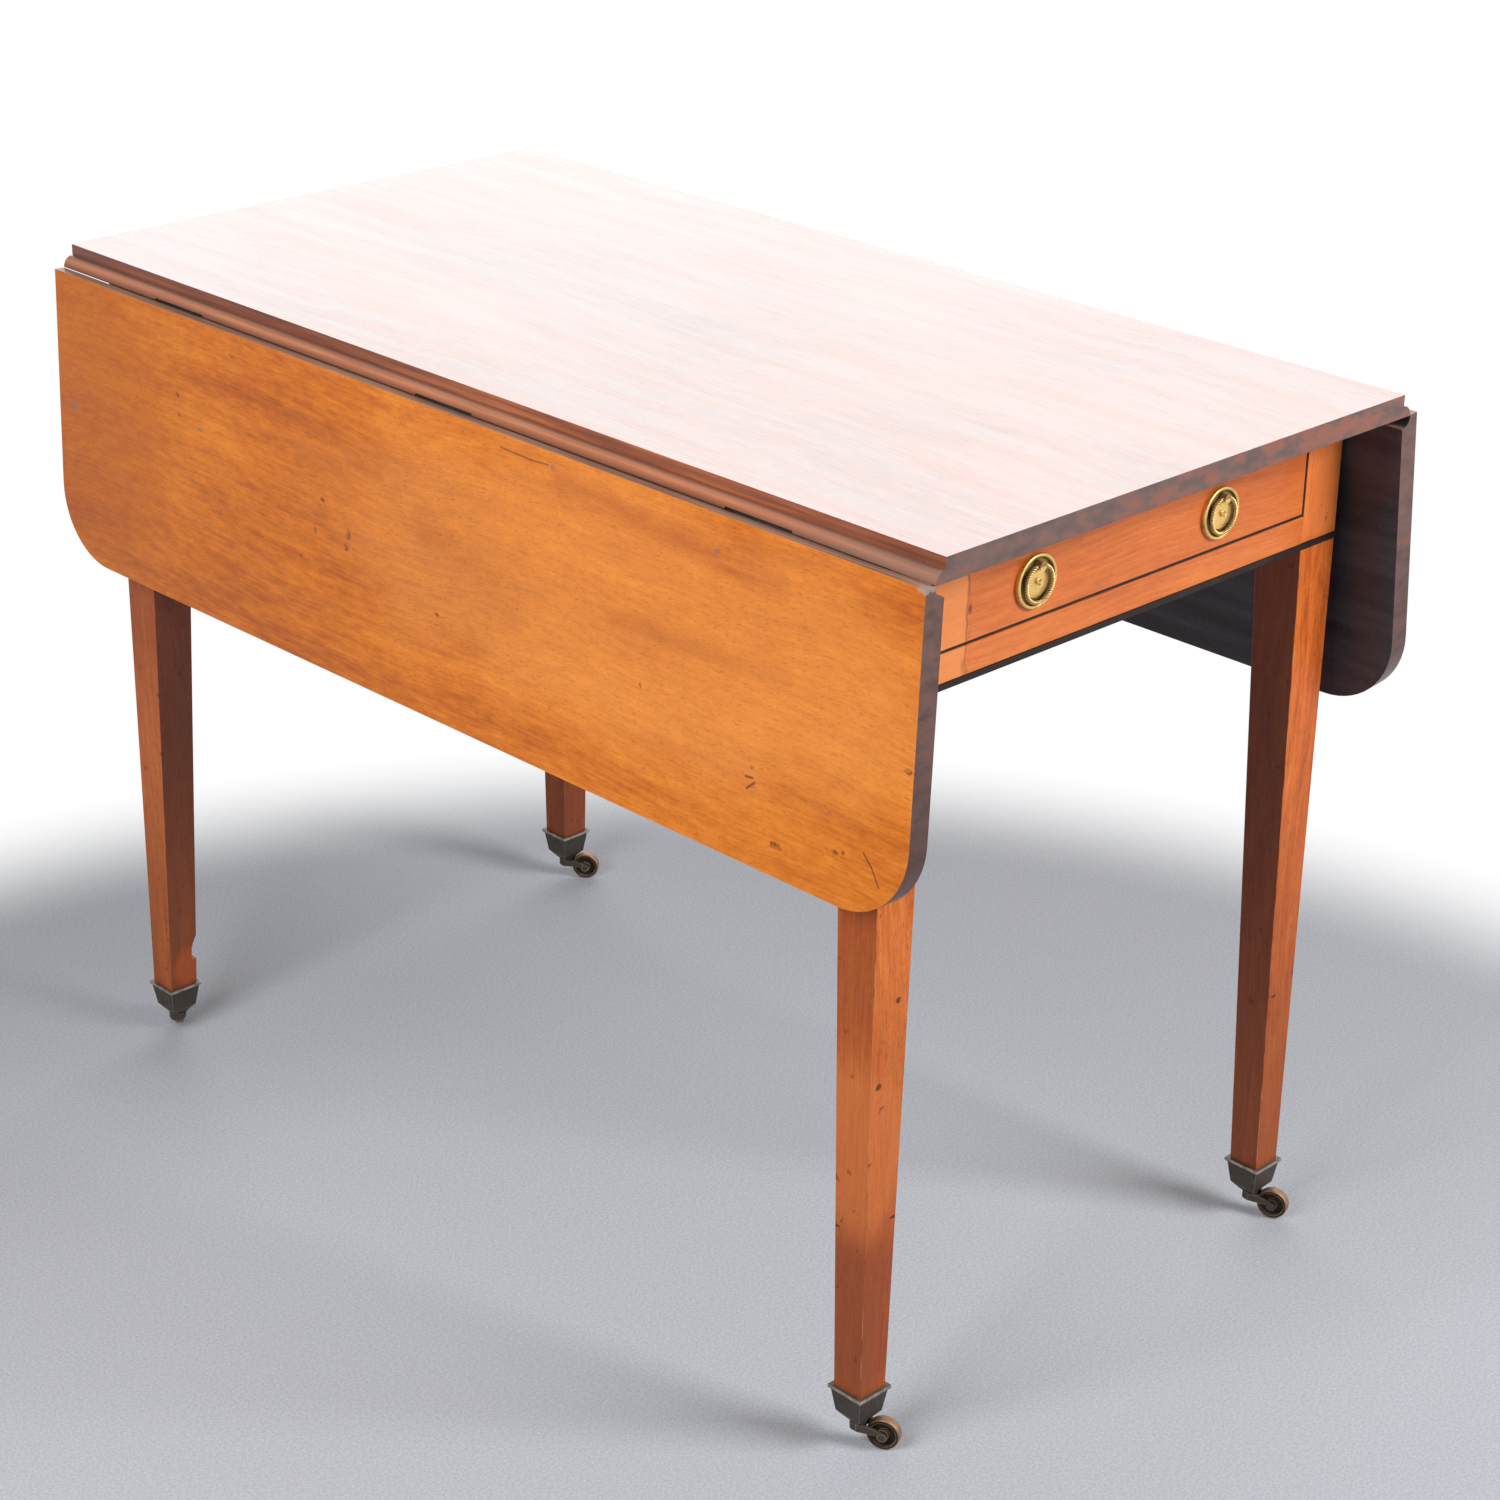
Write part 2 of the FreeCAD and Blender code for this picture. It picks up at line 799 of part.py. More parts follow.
def pull_plate():
    """Turned rosette: beaded rim, sunk field, domed boss, and a drilled post for the ring."""
    rim_inner = pull_radius - pull_rim_width
    crown = pull_radius - pull_rim_width / 2
    outline = [(0, 0), (pull_radius, 0), (pull_radius, pull_rim / 2)]
    inside = [(rim_inner, pull_rim / 2), (rim_inner, pull_field), (pull_boss_radius, pull_field)]
    inside.append((pull_boss_radius, pull_boss_edge))
    top = (0, pull_boss)
    halfway = pull_boss_radius / 2
    swell = pull_boss_edge + dome_height(pull_boss_radius, pull_boss - pull_boss_edge, halfway)
    centre = pull_centre()

    def spot(radius, proud):
        return Vec(centre.x + radius, centre.y - proud, centre.z)

    edges = [Part.makeLine(spot(*a), spot(*b)) for a, b in zip(outline, outline[1:])]
    edges.append(Part.Arc(spot(*outline[-1]), spot(crown, pull_rim), spot(*inside[0])).toShape())
    edges += [Part.makeLine(spot(*a), spot(*b)) for a, b in zip(inside, inside[1:])]
    edges.append(Part.Arc(spot(*inside[-1]), spot(halfway, swell), spot(*top)).toShape())
    edges.append(Part.makeLine(spot(*top), spot(*outline[0])))
    plate = Part.Face(Part.Wire(edges)).revolve(centre, Y, 360)
    post_length = ring_pivot_proud + ring_hole_radius + ring_post_wall
    post = rod(ring_post_radius, post_length, centre + Z * ring_pivot_rise, Y * -1)
    bore = ring_post_radius + cut_overrun
    hole = rod(ring_hole_radius, 2 * bore, ring_pivot() - X * bore, X)
    bolt_start = centre + Y * cut_overrun
    bolt = rod(pull_bolt_radius + hole_clearance, pull_rim + 2 * cut_overrun, bolt_start, Y * -1)
    return without(union([plate, post]), [hole, bolt])


def ring_pivot():
    return pull_centre() + Z * ring_pivot_rise - Y * ring_pivot_proud


def pull_ring():
    return Part.makeTorus(ring_radius, ring_wire_radius, ring_pivot() - Z * ring_radius, Y)


def pull_bolt(wall):
    """Knob and shank in one, with its nut behind the board that carries it."""
    centre = pull_centre()
    base = centre - Y * pull_boss
    knob = Part.makeCone(knob_radius * knob_neck_share, knob_radius, knob_height / 2, base, Y * -1)
    crown = Part.makeCone(
        knob_radius, knob_radius * knob_tip_share, knob_height / 2, base - Y * (knob_height / 2), Y * -1
    )
    length = pull_boss + wall + pull_nut_height + pull_bolt_end
    shank = rod(pull_bolt_radius, length, base, Y)
    nut_start = centre + Y * wall
    corners_of_nut = [
        nut_start + X * (pull_nut_radius * math.cos(math.radians(turn)))
        + Z * (pull_nut_radius * math.sin(math.radians(turn)))
        for turn in range(0, 360, 60)
    ]
    nut = prism(corners_of_nut, Y * pull_nut_height)
    nut = nut.cut(rod(pull_bolt_radius + hole_clearance, pull_nut_height, nut_start, Y))
    return group([union([knob, crown, shank]), nut])


# Cup casters, drawn over the origin with the wheel trailing along +X
def swivel_top():
    return leg_foot_height - cap_taper_height - cap_neck_height - swivel_gap


def caster_cap():
    rim_low = leg_foot_height - cap_rim_thickness
    floor = leg_foot_height - cap_taper_height
    neck = floor - cap_neck_height
    cup = taper(
        square(0, 0, leg_tip + 2 * cap_wall, floor), square(0, 0, leg_foot + 2 * cap_wall, leg_foot_height)
    )
    rim = taper(square(0, 0, cap_rim_width, rim_low), square(0, 0, cap_rim_width, leg_foot_height))
    foot = taper(square(0, 0, cap_neck_side, neck), square(0, 0, leg_tip + 2 * cap_wall, floor))
    inside = taper(square(0, 0, leg_tip, leg_tip_z()), square(0, 0, leg_foot, leg_foot_height))
    seat_depth = swivel_pin_seat + cut_overrun
    seat = rod(swivel_pin_radius + hole_clearance, seat_depth, Z * (neck - cut_overrun), Z)
    return without(union([cup, rim, foot]), [inside, seat])


def swivel_pin():
    neck = leg_foot_height - cap_taper_height - cap_neck_height
    boss_low = swivel_top() - swivel_boss_height
    length = neck + swivel_pin_seat - boss_low
    stem = rod(swivel_pin_radius, length + swivel_gap, Z * (boss_low - swivel_gap), Z)
    head_low = boss_low - swivel_gap - swivel_head_height
    return union([stem, rod(swivel_head_radius, swivel_head_height, Z * head_low, Z)])


def caster_horn():
    """Swivel boss with two cheeks that reach down to the axle, and the axle through them."""
    top = swivel_top()
    low = top - swivel_boss_height
    boss = rod(swivel_boss_radius, swivel_boss_height, Z * low, Z)
    inner = wheel_width / 2 + horn_side_gap
    eye = Vec(caster_trail, 0, wheel_radius)
    end_top = eye + X * horn_eye_radius
    arch = level_arc_middle(Vec(0, 0, top), end_top)
    cheeks = []
    for side in (-1, 1):
        shift = Y * (inner if side > 0 else -inner - horn_cheek)
        edges = [
            Part.makeLine(Vec(0, 0, low) + shift, Vec(0, 0, top) + shift),
            Part.Arc(Vec(0, 0, top) + shift, arch + shift, end_top + shift).toShape(),
            Part.Arc(
                end_top + shift, eye - Z * horn_eye_radius + shift, eye - X * horn_eye_radius + shift
            ).toShape(),
            Part.makeLine(eye - X * horn_eye_radius + shift, Vec(0, 0, low) + shift),
        ]
        cheeks.append(Part.Face(Part.Wire(edges)).extrude(Y * horn_cheek))
    bore_length = swivel_boss_height + 2 * cut_overrun
    bore = rod(swivel_pin_radius + running_clearance, bore_length, Z * (low - cut_overrun), Z)
    reach = inner + horn_cheek
    axle_hole = rod(axle_radius + hole_clearance, 2 * reach, eye - Y * reach, Y)
    horn = without(union([boss] + cheeks), [bore, axle_hole])
    axle = rod(axle_radius, 2 * reach, eye - Y * reach, Y)
    heads = [
        rod(axle_head_radius, axle_head_height, eye + Y * (side * reach), Y * side) for side in (-1, 1)
    ]
    return group([horn, union([axle] + heads)])


def level_arc_middle(start, end):
    """Middle of the arc that leaves start level, along +X, and falls to end."""
    run = end.x - start.x
    fall = start.z - end.z
    radius = (run * run + fall * fall) / (2 * fall)
    half_turn = math.atan2(run, radius - fall) / 2
    return start + X * (radius * math.sin(half_turn)) - Z * (radius * (1 - math.cos(half_turn)))


def caster_wheel():
    start = Vec(caster_trail, -wheel_width / 2, wheel_radius)
    tread = rod(wheel_radius, wheel_width, start, Y)
    rims = [edge for edge in tread.Edges if edge.Curve.TypeId == "Part::GeomCircle"]
    tread = tread.makeFillet(wheel_edge_radius, rims)
    far_face = start + Y * wheel_width
    dishes = [
        rod(wheel_dish_radius, wheel_dish_depth, start, Y),
        rod(wheel_dish_radius, wheel_dish_depth, far_face, Y * -1),
    ]
    hub = rod(wheel_hub_radius, wheel_width + 2 * wheel_hub_proud, start - Y * wheel_hub_proud, Y)
    bore = rod(axle_radius + running_clearance, wheel_width + 2 * cut_overrun, start - Y * cut_overrun, Y)
    return union([without(tread, dishes), hub]).cut(bore)


def at_corner(shape, side_x, side_y, trail):
    piece = shape.copy()
    piece.rotate(ORIGIN, Z, trail)
    piece.translate(Vec(side_x * foot_x, side_y * foot_y, 0))
    return piece


# Write every piece
os.makedirs("parts", exist_ok=True)

save("top_board", top_board())
save("hinge_top_plates", group([flipped(hinge_top_plates(), side, 1) for side in (-1, 1)]))
save("hinge_pins", group([flipped(pin, side, 1) for side in (-1, 1) for pin in hinge_pins()]))
top_side_screws = [screw(spot, Z, hinge_screw_length) for spot in top_flap_screws()]
save("hinge_top_screws", group(both_sides(top_side_screws)))

leaf_screws = group([screw(spot, X, hinge_screw_length) for spot in leaf_flap_screws()])
for name, side in (("left", -1), ("right", 1)):
    save("leaf_" + name, hung(plumb_leaf(), side))
    save("hinge_leaf_plates_" + name, hung(hinge_leaf_plates(), side))
    save("hinge_leaf_screws_" + name, hung(leaf_screws, side))
    save("side_rail_" + name, side_rail(side))
    save("fly_rail_" + name, fly_block(side))
    save("drawer_runner_" + name, drawer_runner(side))
    save("drawer_side_" + name, drawer_side(side))

save("fly_bracket_pins", group(fly_pins()))
save("lower_drawer_rail", lower_drawer_rail())
save("upper_drawer_rail", upper_drawer_rail())
save("back_rail", back_rail())
save("frieze_bands", group([band(-1), band(1)]))
save("back_stringing", back_stringing())
save("drawer_kickers", drawer_kickers())
save("top_screws", top_screws())
save("drawer_stops", drawer_stops())
save("drawer_front", drawer_front())
save("drawer_back", drawer_back())
save("drawer_bottom", drawer_bottom())
save("drawer_stringing", drawer_stringing())

for end, side_y, wall in (("front", -1, drawer_front_thickness), ("back", 1, end_rail_thickness)):
    for name, side_x in (("left", -1), ("right", 1)):
        save("pull_plate_" + end + "_" + name, placed_pull(pull_plate(), side_x, side_y))
        save("pull_ring_" + end + "_" + name, placed_pull(pull_ring(), side_x, side_y))
    bolts = [placed_pull(pull_bolt(wall), side_x, side_y) for side_x in (-1, 1)]
    save("pull_bolts_" + end, group(bolts))

caps = []
pins = []
for name, (side_x, side_y, trail) in corners.items():
    save("leg_" + name, leg(side_x, side_y))
    save("fly_bracket_" + name, fly_bracket(side_x, side_y))
    save("caster_horn_" + name, at_corner(caster_horn(), side_x, side_y, trail))
    save("caster_wheel_" + name, at_corner(caster_wheel(), side_x, side_y, trail))
    caps.append(at_corner(caster_cap(), side_x, side_y, 0))
    pins.append(at_corner(swivel_pin(), side_x, side_y, 0))
save("caster_caps", group(caps))
save("caster_swivel_pins", group(pins))
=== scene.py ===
import json
import math

import bmesh
import bpy
from mathutils import Matrix, Vector

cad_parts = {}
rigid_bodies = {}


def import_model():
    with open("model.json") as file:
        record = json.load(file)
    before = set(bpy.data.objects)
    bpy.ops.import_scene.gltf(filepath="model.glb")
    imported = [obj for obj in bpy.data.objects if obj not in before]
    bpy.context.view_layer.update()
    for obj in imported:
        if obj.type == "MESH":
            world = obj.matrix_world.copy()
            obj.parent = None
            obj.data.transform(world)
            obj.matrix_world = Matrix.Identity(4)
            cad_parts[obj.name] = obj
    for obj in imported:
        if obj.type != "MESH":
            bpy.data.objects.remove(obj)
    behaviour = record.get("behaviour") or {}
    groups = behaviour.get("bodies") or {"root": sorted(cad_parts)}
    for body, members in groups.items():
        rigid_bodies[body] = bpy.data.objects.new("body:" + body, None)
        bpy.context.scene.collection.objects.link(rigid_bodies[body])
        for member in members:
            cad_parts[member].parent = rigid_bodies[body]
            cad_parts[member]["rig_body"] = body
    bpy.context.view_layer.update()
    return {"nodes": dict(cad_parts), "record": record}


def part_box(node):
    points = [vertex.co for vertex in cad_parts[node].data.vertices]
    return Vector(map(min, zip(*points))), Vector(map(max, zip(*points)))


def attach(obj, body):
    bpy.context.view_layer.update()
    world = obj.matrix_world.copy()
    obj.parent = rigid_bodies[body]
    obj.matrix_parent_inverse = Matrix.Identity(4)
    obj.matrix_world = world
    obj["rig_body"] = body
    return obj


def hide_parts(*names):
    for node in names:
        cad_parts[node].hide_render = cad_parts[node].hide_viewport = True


# Pembroke table with hanging leaves, seen from above its front left corner.
# Metres and degrees, +Z up. The drawer end faces -Y, and the left leaf is on -X.
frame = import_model()
nodes = frame["nodes"]

# Camera at the photograph's viewing angle
CAMERA_PLACE = (-1.7391, -1.8133, 1.4763)
CAMERA_AZIMUTH = -44.865
CAMERA_ELEVATION = 24.126
CAMERA_ROLL = 0.994
CAMERA_LENS_MM = 79.645
CAMERA_SENSOR_MM = 36

# Soft boxes: place, width, height and how bright their face is
FRONT_BOX = ((0.95, -2.45, 1.85), 1.2, 1.0, 17.0)
LEFT_BOX = ((-1.7, -0.28, 1.42), 1.0, 0.9, 8.2)
BACK_BOX = ((1.95, 1.95, 1.75), 2.9, 1.5, 1.4)
HIGH_BOX = ((1.8, 1.8, 2.3), 2.9, 0.9, 1.15)
LIGHT_AIM = (0, 0, 0.45)
SKY_FILL = 0.11

# Floor, pale grey round the table and white further out
FLOOR_RADIUS = 14.0
FLOOR_SIDES = 96
FLOOR_CENTRE = (-0.35, -0.35, 0)
FLOOR_GREY_RADIUS = 1.04
FLOOR_WHITE_RADIUS = 1.30

# Rounding of worn edges
BOARD_BEVEL = 0.0011
LEG_BEVEL = 0.0009
RAIL_BEVEL = 0.0005
METAL_BEVEL = 0.00035
BEVEL_SEGMENTS = 3
WELD_DISTANCE = 0.00001
FLAT_ANGLE = 1.0
SHARP_ANGLE = 35.0

# CAD pieces that the finish follows
top_low, top_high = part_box("top_board")
leaf_low, leaf_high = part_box("leaf_left")
front_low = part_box("drawer_front")[0]
rail_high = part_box("lower_drawer_rail")[1]
cap_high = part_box("caster_caps")[1]
plate_low, plate_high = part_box("pull_plate_front_right")

# Mix node sockets for colours
MIX_FACTOR = 0
MIX_A = 6
MIX_B = 7
MIX_RESULT = 2

# Rays with which the shader nodes for edges and hollows look round
EDGE_SAMPLES = 4
HOLLOW_SAMPLES = 6


def tone(red, green, blue):
    """Linear colour of an sRGB one, each channel from 0 to 255."""

    def linear(channel):
        share = channel / 255
        return share / 12.92 if share <= 0.04045 else ((share + 0.055) / 1.055) ** 2.4

    return (linear(red), linear(green), linear(blue), 1)


class Surface:
    """One procedural material. Its methods add nodes and return their output sockets."""

    def __init__(self, name):
        self.material = bpy.data.materials.new(name)
        self.material.use_nodes = True
        self.tree = self.material.node_tree
        self.shader = self.tree.nodes["Principled BSDF"]
        coordinates = self.node("TexCoord")
        self.place = coordinates.outputs["Object"]
        self.facing = coordinates.outputs["Normal"]
        self.across, self.along, self.height = self.parts(self.place)

    def node(self, kind, **settings):
        made = self.tree.nodes.new("ShaderNode" + kind)
        for name, value in settings.items():
            setattr(made, name, value)
        return made

    def feed(self, socket, value):
        if isinstance(value, bpy.types.NodeSocket):
            self.tree.links.new(value, socket)
        else:
            socket.default_value = value

    def set(self, **sockets):
        """Sets the shader's sockets; underscores in a name stand for spaces."""
        for name, value in sockets.items():
            self.feed(self.shader.inputs[name.replace("_", " ")], value)

    def math(self, operation, first, second=0.0):
        made = self.node("Math", operation=operation)
        self.feed(made.inputs[0], first)
        self.feed(made.inputs[1], second)
        return made.outputs[0]

    def times(self, first, second):
        return self.math("MULTIPLY", first, second)

    def most(self, first, second):
        return self.math("MAXIMUM", first, second)

    def size(self, value):
        """The value without its sign."""
        return self.math("ABSOLUTE", value)

    def vector(self, operation, first, second=(0, 0, 0)):
        made = self.node("VectorMath", operation=operation)
        self.feed(made.inputs[0], first)
        self.feed(made.inputs[1], second)
        return made.outputs["Value" if operation in ("LENGTH", "DOT_PRODUCT") else "Vector"]

    def parts(self, vector):
        """The X, Y and Z of a vector."""
        made = self.node("SeparateXYZ")
        self.feed(made.inputs[0], vector)
        return made.outputs["X"], made.outputs["Y"], made.outputs["Z"]

    def towards(self, direction):
        """How far the surface faces along a direction, from -1 to 1."""
        return self.vector("DOT_PRODUCT", self.facing, direction)

    def stretched(self, factors):
        return self.vector("MULTIPLY", self.place, factors)

    def noise(self, at, scale, detail=2.0, roughness=0.5):
        made = self.node("TexNoise")
        self.feed(made.inputs["Vector"], at)
        made.inputs["Scale"].default_value = scale
        made.inputs["Detail"].default_value = detail
        made.inputs["Roughness"].default_value = roughness
        return made.outputs[0]

    def warp(self, at, scale, amount):
        """The place, pushed about by a broad noise."""
        made = self.node("TexNoise")
        self.feed(made.inputs["Vector"], at)
        made.inputs["Scale"].default_value = scale
        centred = self.vector("SUBTRACT", made.outputs["Color"], (0.5, 0.5, 0.5))
        return self.vector("ADD", at, self.vector("MULTIPLY", centred, (amount, amount, amount)))

    def span(self, value, low, high, to_low=0.0, to_high=1.0):
        """The value's way from low to high as a smooth step."""
        made = self.node("MapRange", interpolation_type="SMOOTHSTEP")
        for name, number in (
            ("Value", value), ("From Min", low), ("From Max", high), ("To Min", to_low), ("To Max", to_high)
        ):
            self.feed(made.inputs[name], number)
        return made.outputs[0]

    def fade(self, value, full, none):
        """Mask that is 1 up to full and 0 from none on."""
        return self.span(value, full, none, 1.0, 0.0)

    def mix(self, factor, first, second):
        made = self.node("Mix", data_type="RGBA")
        self.feed(made.inputs[MIX_FACTOR], factor)
        self.feed(made.inputs[MIX_A], first)
        self.feed(made.inputs[MIX_B], second)
        return made.outputs[MIX_RESULT]

    def paint(self, colour, mask, strength, tint):
        """The colour with a tint over it where the mask is, at up to the given strength."""
        return self.mix(self.times(mask, strength), colour, tint)

    def ramp(self, value, stops):
        made = self.node("ValToRGB")
        elements = made.color_ramp.elements
        while len(elements) < len(stops):
            elements.new(0.5)
        for element, (position, colour) in zip(elements, stops):
            element.position = position
            element.color = colour
        self.feed(made.inputs[0], value)
        return made.outputs[0]

    def total(self, *weighted):
        """Half, plus each noise's distance from its middle times its weight."""
        value = 0.5
        for noise, weight in weighted:
            value = self.math("ADD", value, self.times(self.math("SUBTRACT", noise, 0.5), weight))
        return value

    def blot(self, at, centre, size):
        """Soft mask, 1 inside an ellipsoid and 0 outside it."""
        offset = self.vector("DIVIDE", self.vector("SUBTRACT", at, centre), size)
        return self.fade(self.vector("LENGTH", offset), 0.55, 1.0)

    def stroke(self, at, start, end, half_width, core=0.35):
        """Soft mask round a straight line; the core is the share of its width that is full."""
        run = Vector(end) - Vector(start)
        offset = self.vector("SUBTRACT", at, start)
        share = self.vector("DOT_PRODUCT", offset, run / run.length_squared)
        nearest = self.node("VectorMath", operation="SCALE")
        nearest.inputs[0].default_value = run
        self.feed(nearest.inputs["Scale"], self.math("MINIMUM", self.most(share, 0.0), 1.0))
        away = self.vector("LENGTH", self.vector("SUBTRACT", offset, nearest.outputs[0]))
        return self.fade(away, half_width * core, half_width)

    def edges(self, radius):
        """Mask of the piece's own edges, within the radius."""
        rounded = self.node("Bevel", samples=EDGE_SAMPLES)
        rounded.inputs["Radius"].default_value = radius
        flat = self.node("NewGeometry").outputs["Normal"]
        return self.fade(self.vector("DOT_PRODUCT", rounded.outputs[0], flat), 0.80, 0.97)

    def arrises(self):
        """Mask of a squared piece's rounded edges, which face along no axis."""
        x, y, z = self.parts(self.vector("ABSOLUTE", self.facing))
        return self.span(self.most(self.most(x, y), z), 0.97, 0.88)

    def hollows(self, distance):
        """Mask of the piece's own hollows and grooves."""
        made = self.node("AmbientOcclusion", samples=HOLLOW_SAMPLES, only_local=True)
        made.inputs["Distance"].default_value = distance
        return self.fade(made.outputs["AO"], 0.35, 0.95)

    def bump(self, height, strength, distance):
        made = self.node("Bump")
        made.inputs["Strength"].default_value = strength
        made.inputs["Distance"].default_value = distance
        self.feed(made.inputs["Height"], height)
        self.set(Normal=made.outputs[0])


# Wood
STRETCH = {
    "X": lambda share: (share, 1, 1),
    "Y": lambda share: (1, share, 1),
    "Z": lambda share: (1, 1, share),
}
POLISH_DEPTH = 0.00025
BARE_WOOD_DEPTH = 0.0003


class Grain:
    """The noises of straight-grained wood that runs along one axis."""

    def __init__(self, surface, axis, offset=0.0):
        moved = surface.vector("ADD", surface.place, (offset, offset, offset))
        at = surface.warp(moved, scale=2.6, amount=0.05)

        def along(share):
            return surface.vector("MULTIPLY", at, STRETCH[axis](share))

        self.cloud = surface.noise(along(0.30), scale=7.0)
        self.streak = surface.noise(along(0.07), scale=62.0, detail=4.0, roughness=0.6)
        self.line = surface.noise(along(0.045), scale=420.0)
        self.mottle = surface.noise(along(0.34), scale=150.0, detail=3.0, roughness=0.6)
        self.figure = surface.noise(along(0.16), scale=26.0, detail=3.0, roughness=0.55)
        self.pore = surface.span(surface.noise(along(0.13), scale=1300.0, detail=1.0), 0.56, 0.72)


def polish(surface, grain, roughness, shine, coat, coat_roughness):
    """Rubbed wax or shellac over open-pored wood."""
    surface.set(
        Roughness=surface.span(grain.streak, 0.3, 0.7, roughness - 0.06, roughness + 0.06),
        Specular_IOR_Level=shine,
        Coat_Weight=coat,
        Coat_Roughness=coat_roughness,
    )
    height = surface.math("SUBTRACT", surface.times(grain.line, 0.4), grain.pore)
    surface.bump(height, strength=0.16, distance=POLISH_DEPTH)


def end_mask(surface):
    """Faces across the grain of boards that run along Y."""
    return surface.span(surface.size(surface.parts(surface.facing)[1]), 0.45, 0.8)


def worn(surface, colour, edge, pale, dark):
    """Edges, given as a mask, rubbed pale in places and darkened by dirt in others."""
    patch = surface.noise(surface.place, scale=38.0, detail=3.0)
    rubbed = surface.times(edge, surface.span(patch, 0.46, 0.58))
    dirty = surface.times(edge, surface.span(patch, 0.46, 0.36))
    colour = surface.paint(colour, dirty, 0.6, dark)
    return surface.paint(colour, rubbed, 0.75, pale)


# Ends of the boards: where across the table the rubbed patches change from least to most
END_RUN = (-0.20, 0.16)
END_DARK = tone(88, 63, 57)
END_LIGHT = tone(112, 84, 77)
END_RUBBED = tone(152, 78, 52)


def board_ends(surface, colour, least, most):
    """Dark ends with redder rubbed patches, from least at the left to most at the right."""
    patch = surface.noise(surface.stretched((0.5, 1, 1)), scale=75.0, detail=5.0, roughness=0.65)
    more = surface.span(surface.across, *END_RUN, least, most)
    shown = surface.span(surface.math("ADD", patch, more), 0.46, 0.66)
    dull = surface.mix(surface.span(patch, 0.3, 0.6), END_DARK, END_LIGHT)
    end = surface.paint(dull, shown, 0.7, END_RUBBED)
    return surface.mix(end_mask(surface), colour, end)


def long_streaks(surface):
    """Noise drawn out along Y, as rubbing along a moulding leaves it."""
    return surface.noise(surface.stretched((1, 0.035, 1)), scale=230.0, detail=3.0, roughness=0.6)


# Bare wood of the undersides and inner faces, painted near black as shade
BARE_SHADED_DARK = tone(58, 53, 58)
BARE_SHADED_LIGHT = tone(80, 74, 80)
BARE_SPECK = tone(104, 92, 92)


def underside(surface, colour, direction):
    """Unpolished dark wood on the faces that look along a direction, its colour painted near black and grey
    as shade.
    """
    turned = surface.span(surface.towards(direction), 0.3, 0.6)
    speck = surface.span(surface.noise(surface.place, scale=240.0), 0.60, 0.74)
    streak = surface.noise(surface.stretched((1, 0.1, 1)), scale=60.0, detail=3.0)
    shaded_bare = surface.mix(surface.span(streak, 0.3, 0.7), BARE_SHADED_DARK, BARE_SHADED_LIGHT)
    shaded_bare = surface.paint(shaded_bare, speck, 0.3, BARE_SPECK)
    return surface.mix(turned, colour, shaded_bare)


# Fixed top. Dull places on it: across, along, and half size each way
TOP_SMUDGES = [
    (-0.060, 0.030, 0.075, 0.150),
    (-0.020, -0.060, 0.060, 0.090),
    (-0.050, 0.210, 0.050, 0.100),
    (-0.060, -0.300, 0.060, 0.080),
    (-0.120, -0.260, 0.030, 0.060),
    (-0.040, -0.342, 0.014, 0.020),
    (0.149, -0.077, 0.016, 0.026),
    (0.135, -0.277, 0.030, 0.070),
]
SMUDGE_DEPTH = 0.05
TOP_TONES = [(0.2, tone(110, 56, 35)), (0.5, tone(148, 77, 46)), (0.85, tone(178, 98, 60))]
TOP_PORE = tone(58, 30, 22)
TOP_SMUDGE = tone(80, 50, 41)
TOP_ARRIS = tone(158, 82, 56)
TOP_ARRIS_PALE = tone(196, 112, 80)
TOP_ARRIS_DARK = tone(84, 40, 30)

# Its moulding: a flat fillet above a round bead, told apart by height, with a soft step either side
FILLET_LOW = top_high.z - 0.009
FILLET_BLEND = 0.0003
# Heights between which the moulding's finish sets in downwards, and the worn arris upwards
MOULDING_HEIGHTS = (top_high.z - 0.004, top_high.z - 0.006)
ARRIS_HEIGHTS = (top_high.z - 0.003, top_high.z - 0.002)
# Places along the table between which the fillet grows brighter, and the bead greyer
FILLET_FAR_RUN = (0.25, -0.10)
FILLET_NEAR_RUN = (-0.47, -0.34)
BEAD_GREY_RUN = (-0.30, -0.47)
FILLET_TONES = [(0.32, tone(92, 42, 20)), (0.5, tone(126, 58, 26)), (0.7, tone(158, 82, 42))]
FILLET_BRIGHT_TONES = [(0.32, tone(132, 64, 30)), (0.5, tone(172, 90, 44)), (0.7, tone(206, 126, 76))]
# Painted light on the bead: its tones from its lower edge, which faces sideways and is painted in shade, to
# its top, which faces up, with a painted highlight where it turns upward
BEAD_PAINTED_LIGHT_TONES = [
    (0.0, tone(118, 70, 44)),
    (0.34, tone(156, 88, 52)),
    (0.66, tone(222, 136, 88)),
    (0.86, tone(188, 122, 88)),
    (1.0, tone(120, 82, 62)),
]
BEAD_STREAK = tone(104, 56, 36)
BEAD_GREY = tone(146, 112, 94)


def moulding_colour(surface, upward):
    """Colour of the moulding along the long sides; upward is how far its faces look up, which sets the bead's
    painted highlight and shade.
    """
    streaks = long_streaks(surface)
    middle = surface.times(
        surface.span(surface.along, *FILLET_FAR_RUN), surface.span(surface.along, *FILLET_NEAR_RUN)
    )
    fillet = surface.ramp(streaks, FILLET_TONES)
    fillet = surface.paint(fillet, middle, 0.68, surface.ramp(streaks, FILLET_BRIGHT_TONES))
    # Painted highlight and shade on the bead, by which way its faces look
    bead = surface.ramp(upward, BEAD_PAINTED_LIGHT_TONES)
    bead = surface.mix(surface.span(streaks, 0.35, 0.65, 0.3, 0.0), bead, BEAD_STREAK)
    bead = surface.mix(surface.span(surface.along, *BEAD_GREY_RUN, 0.0, 0.6), bead, BEAD_GREY)
    high = surface.span(surface.height, FILLET_LOW - FILLET_BLEND, FILLET_LOW + FILLET_BLEND)
    return surface.mix(high, bead, fillet)


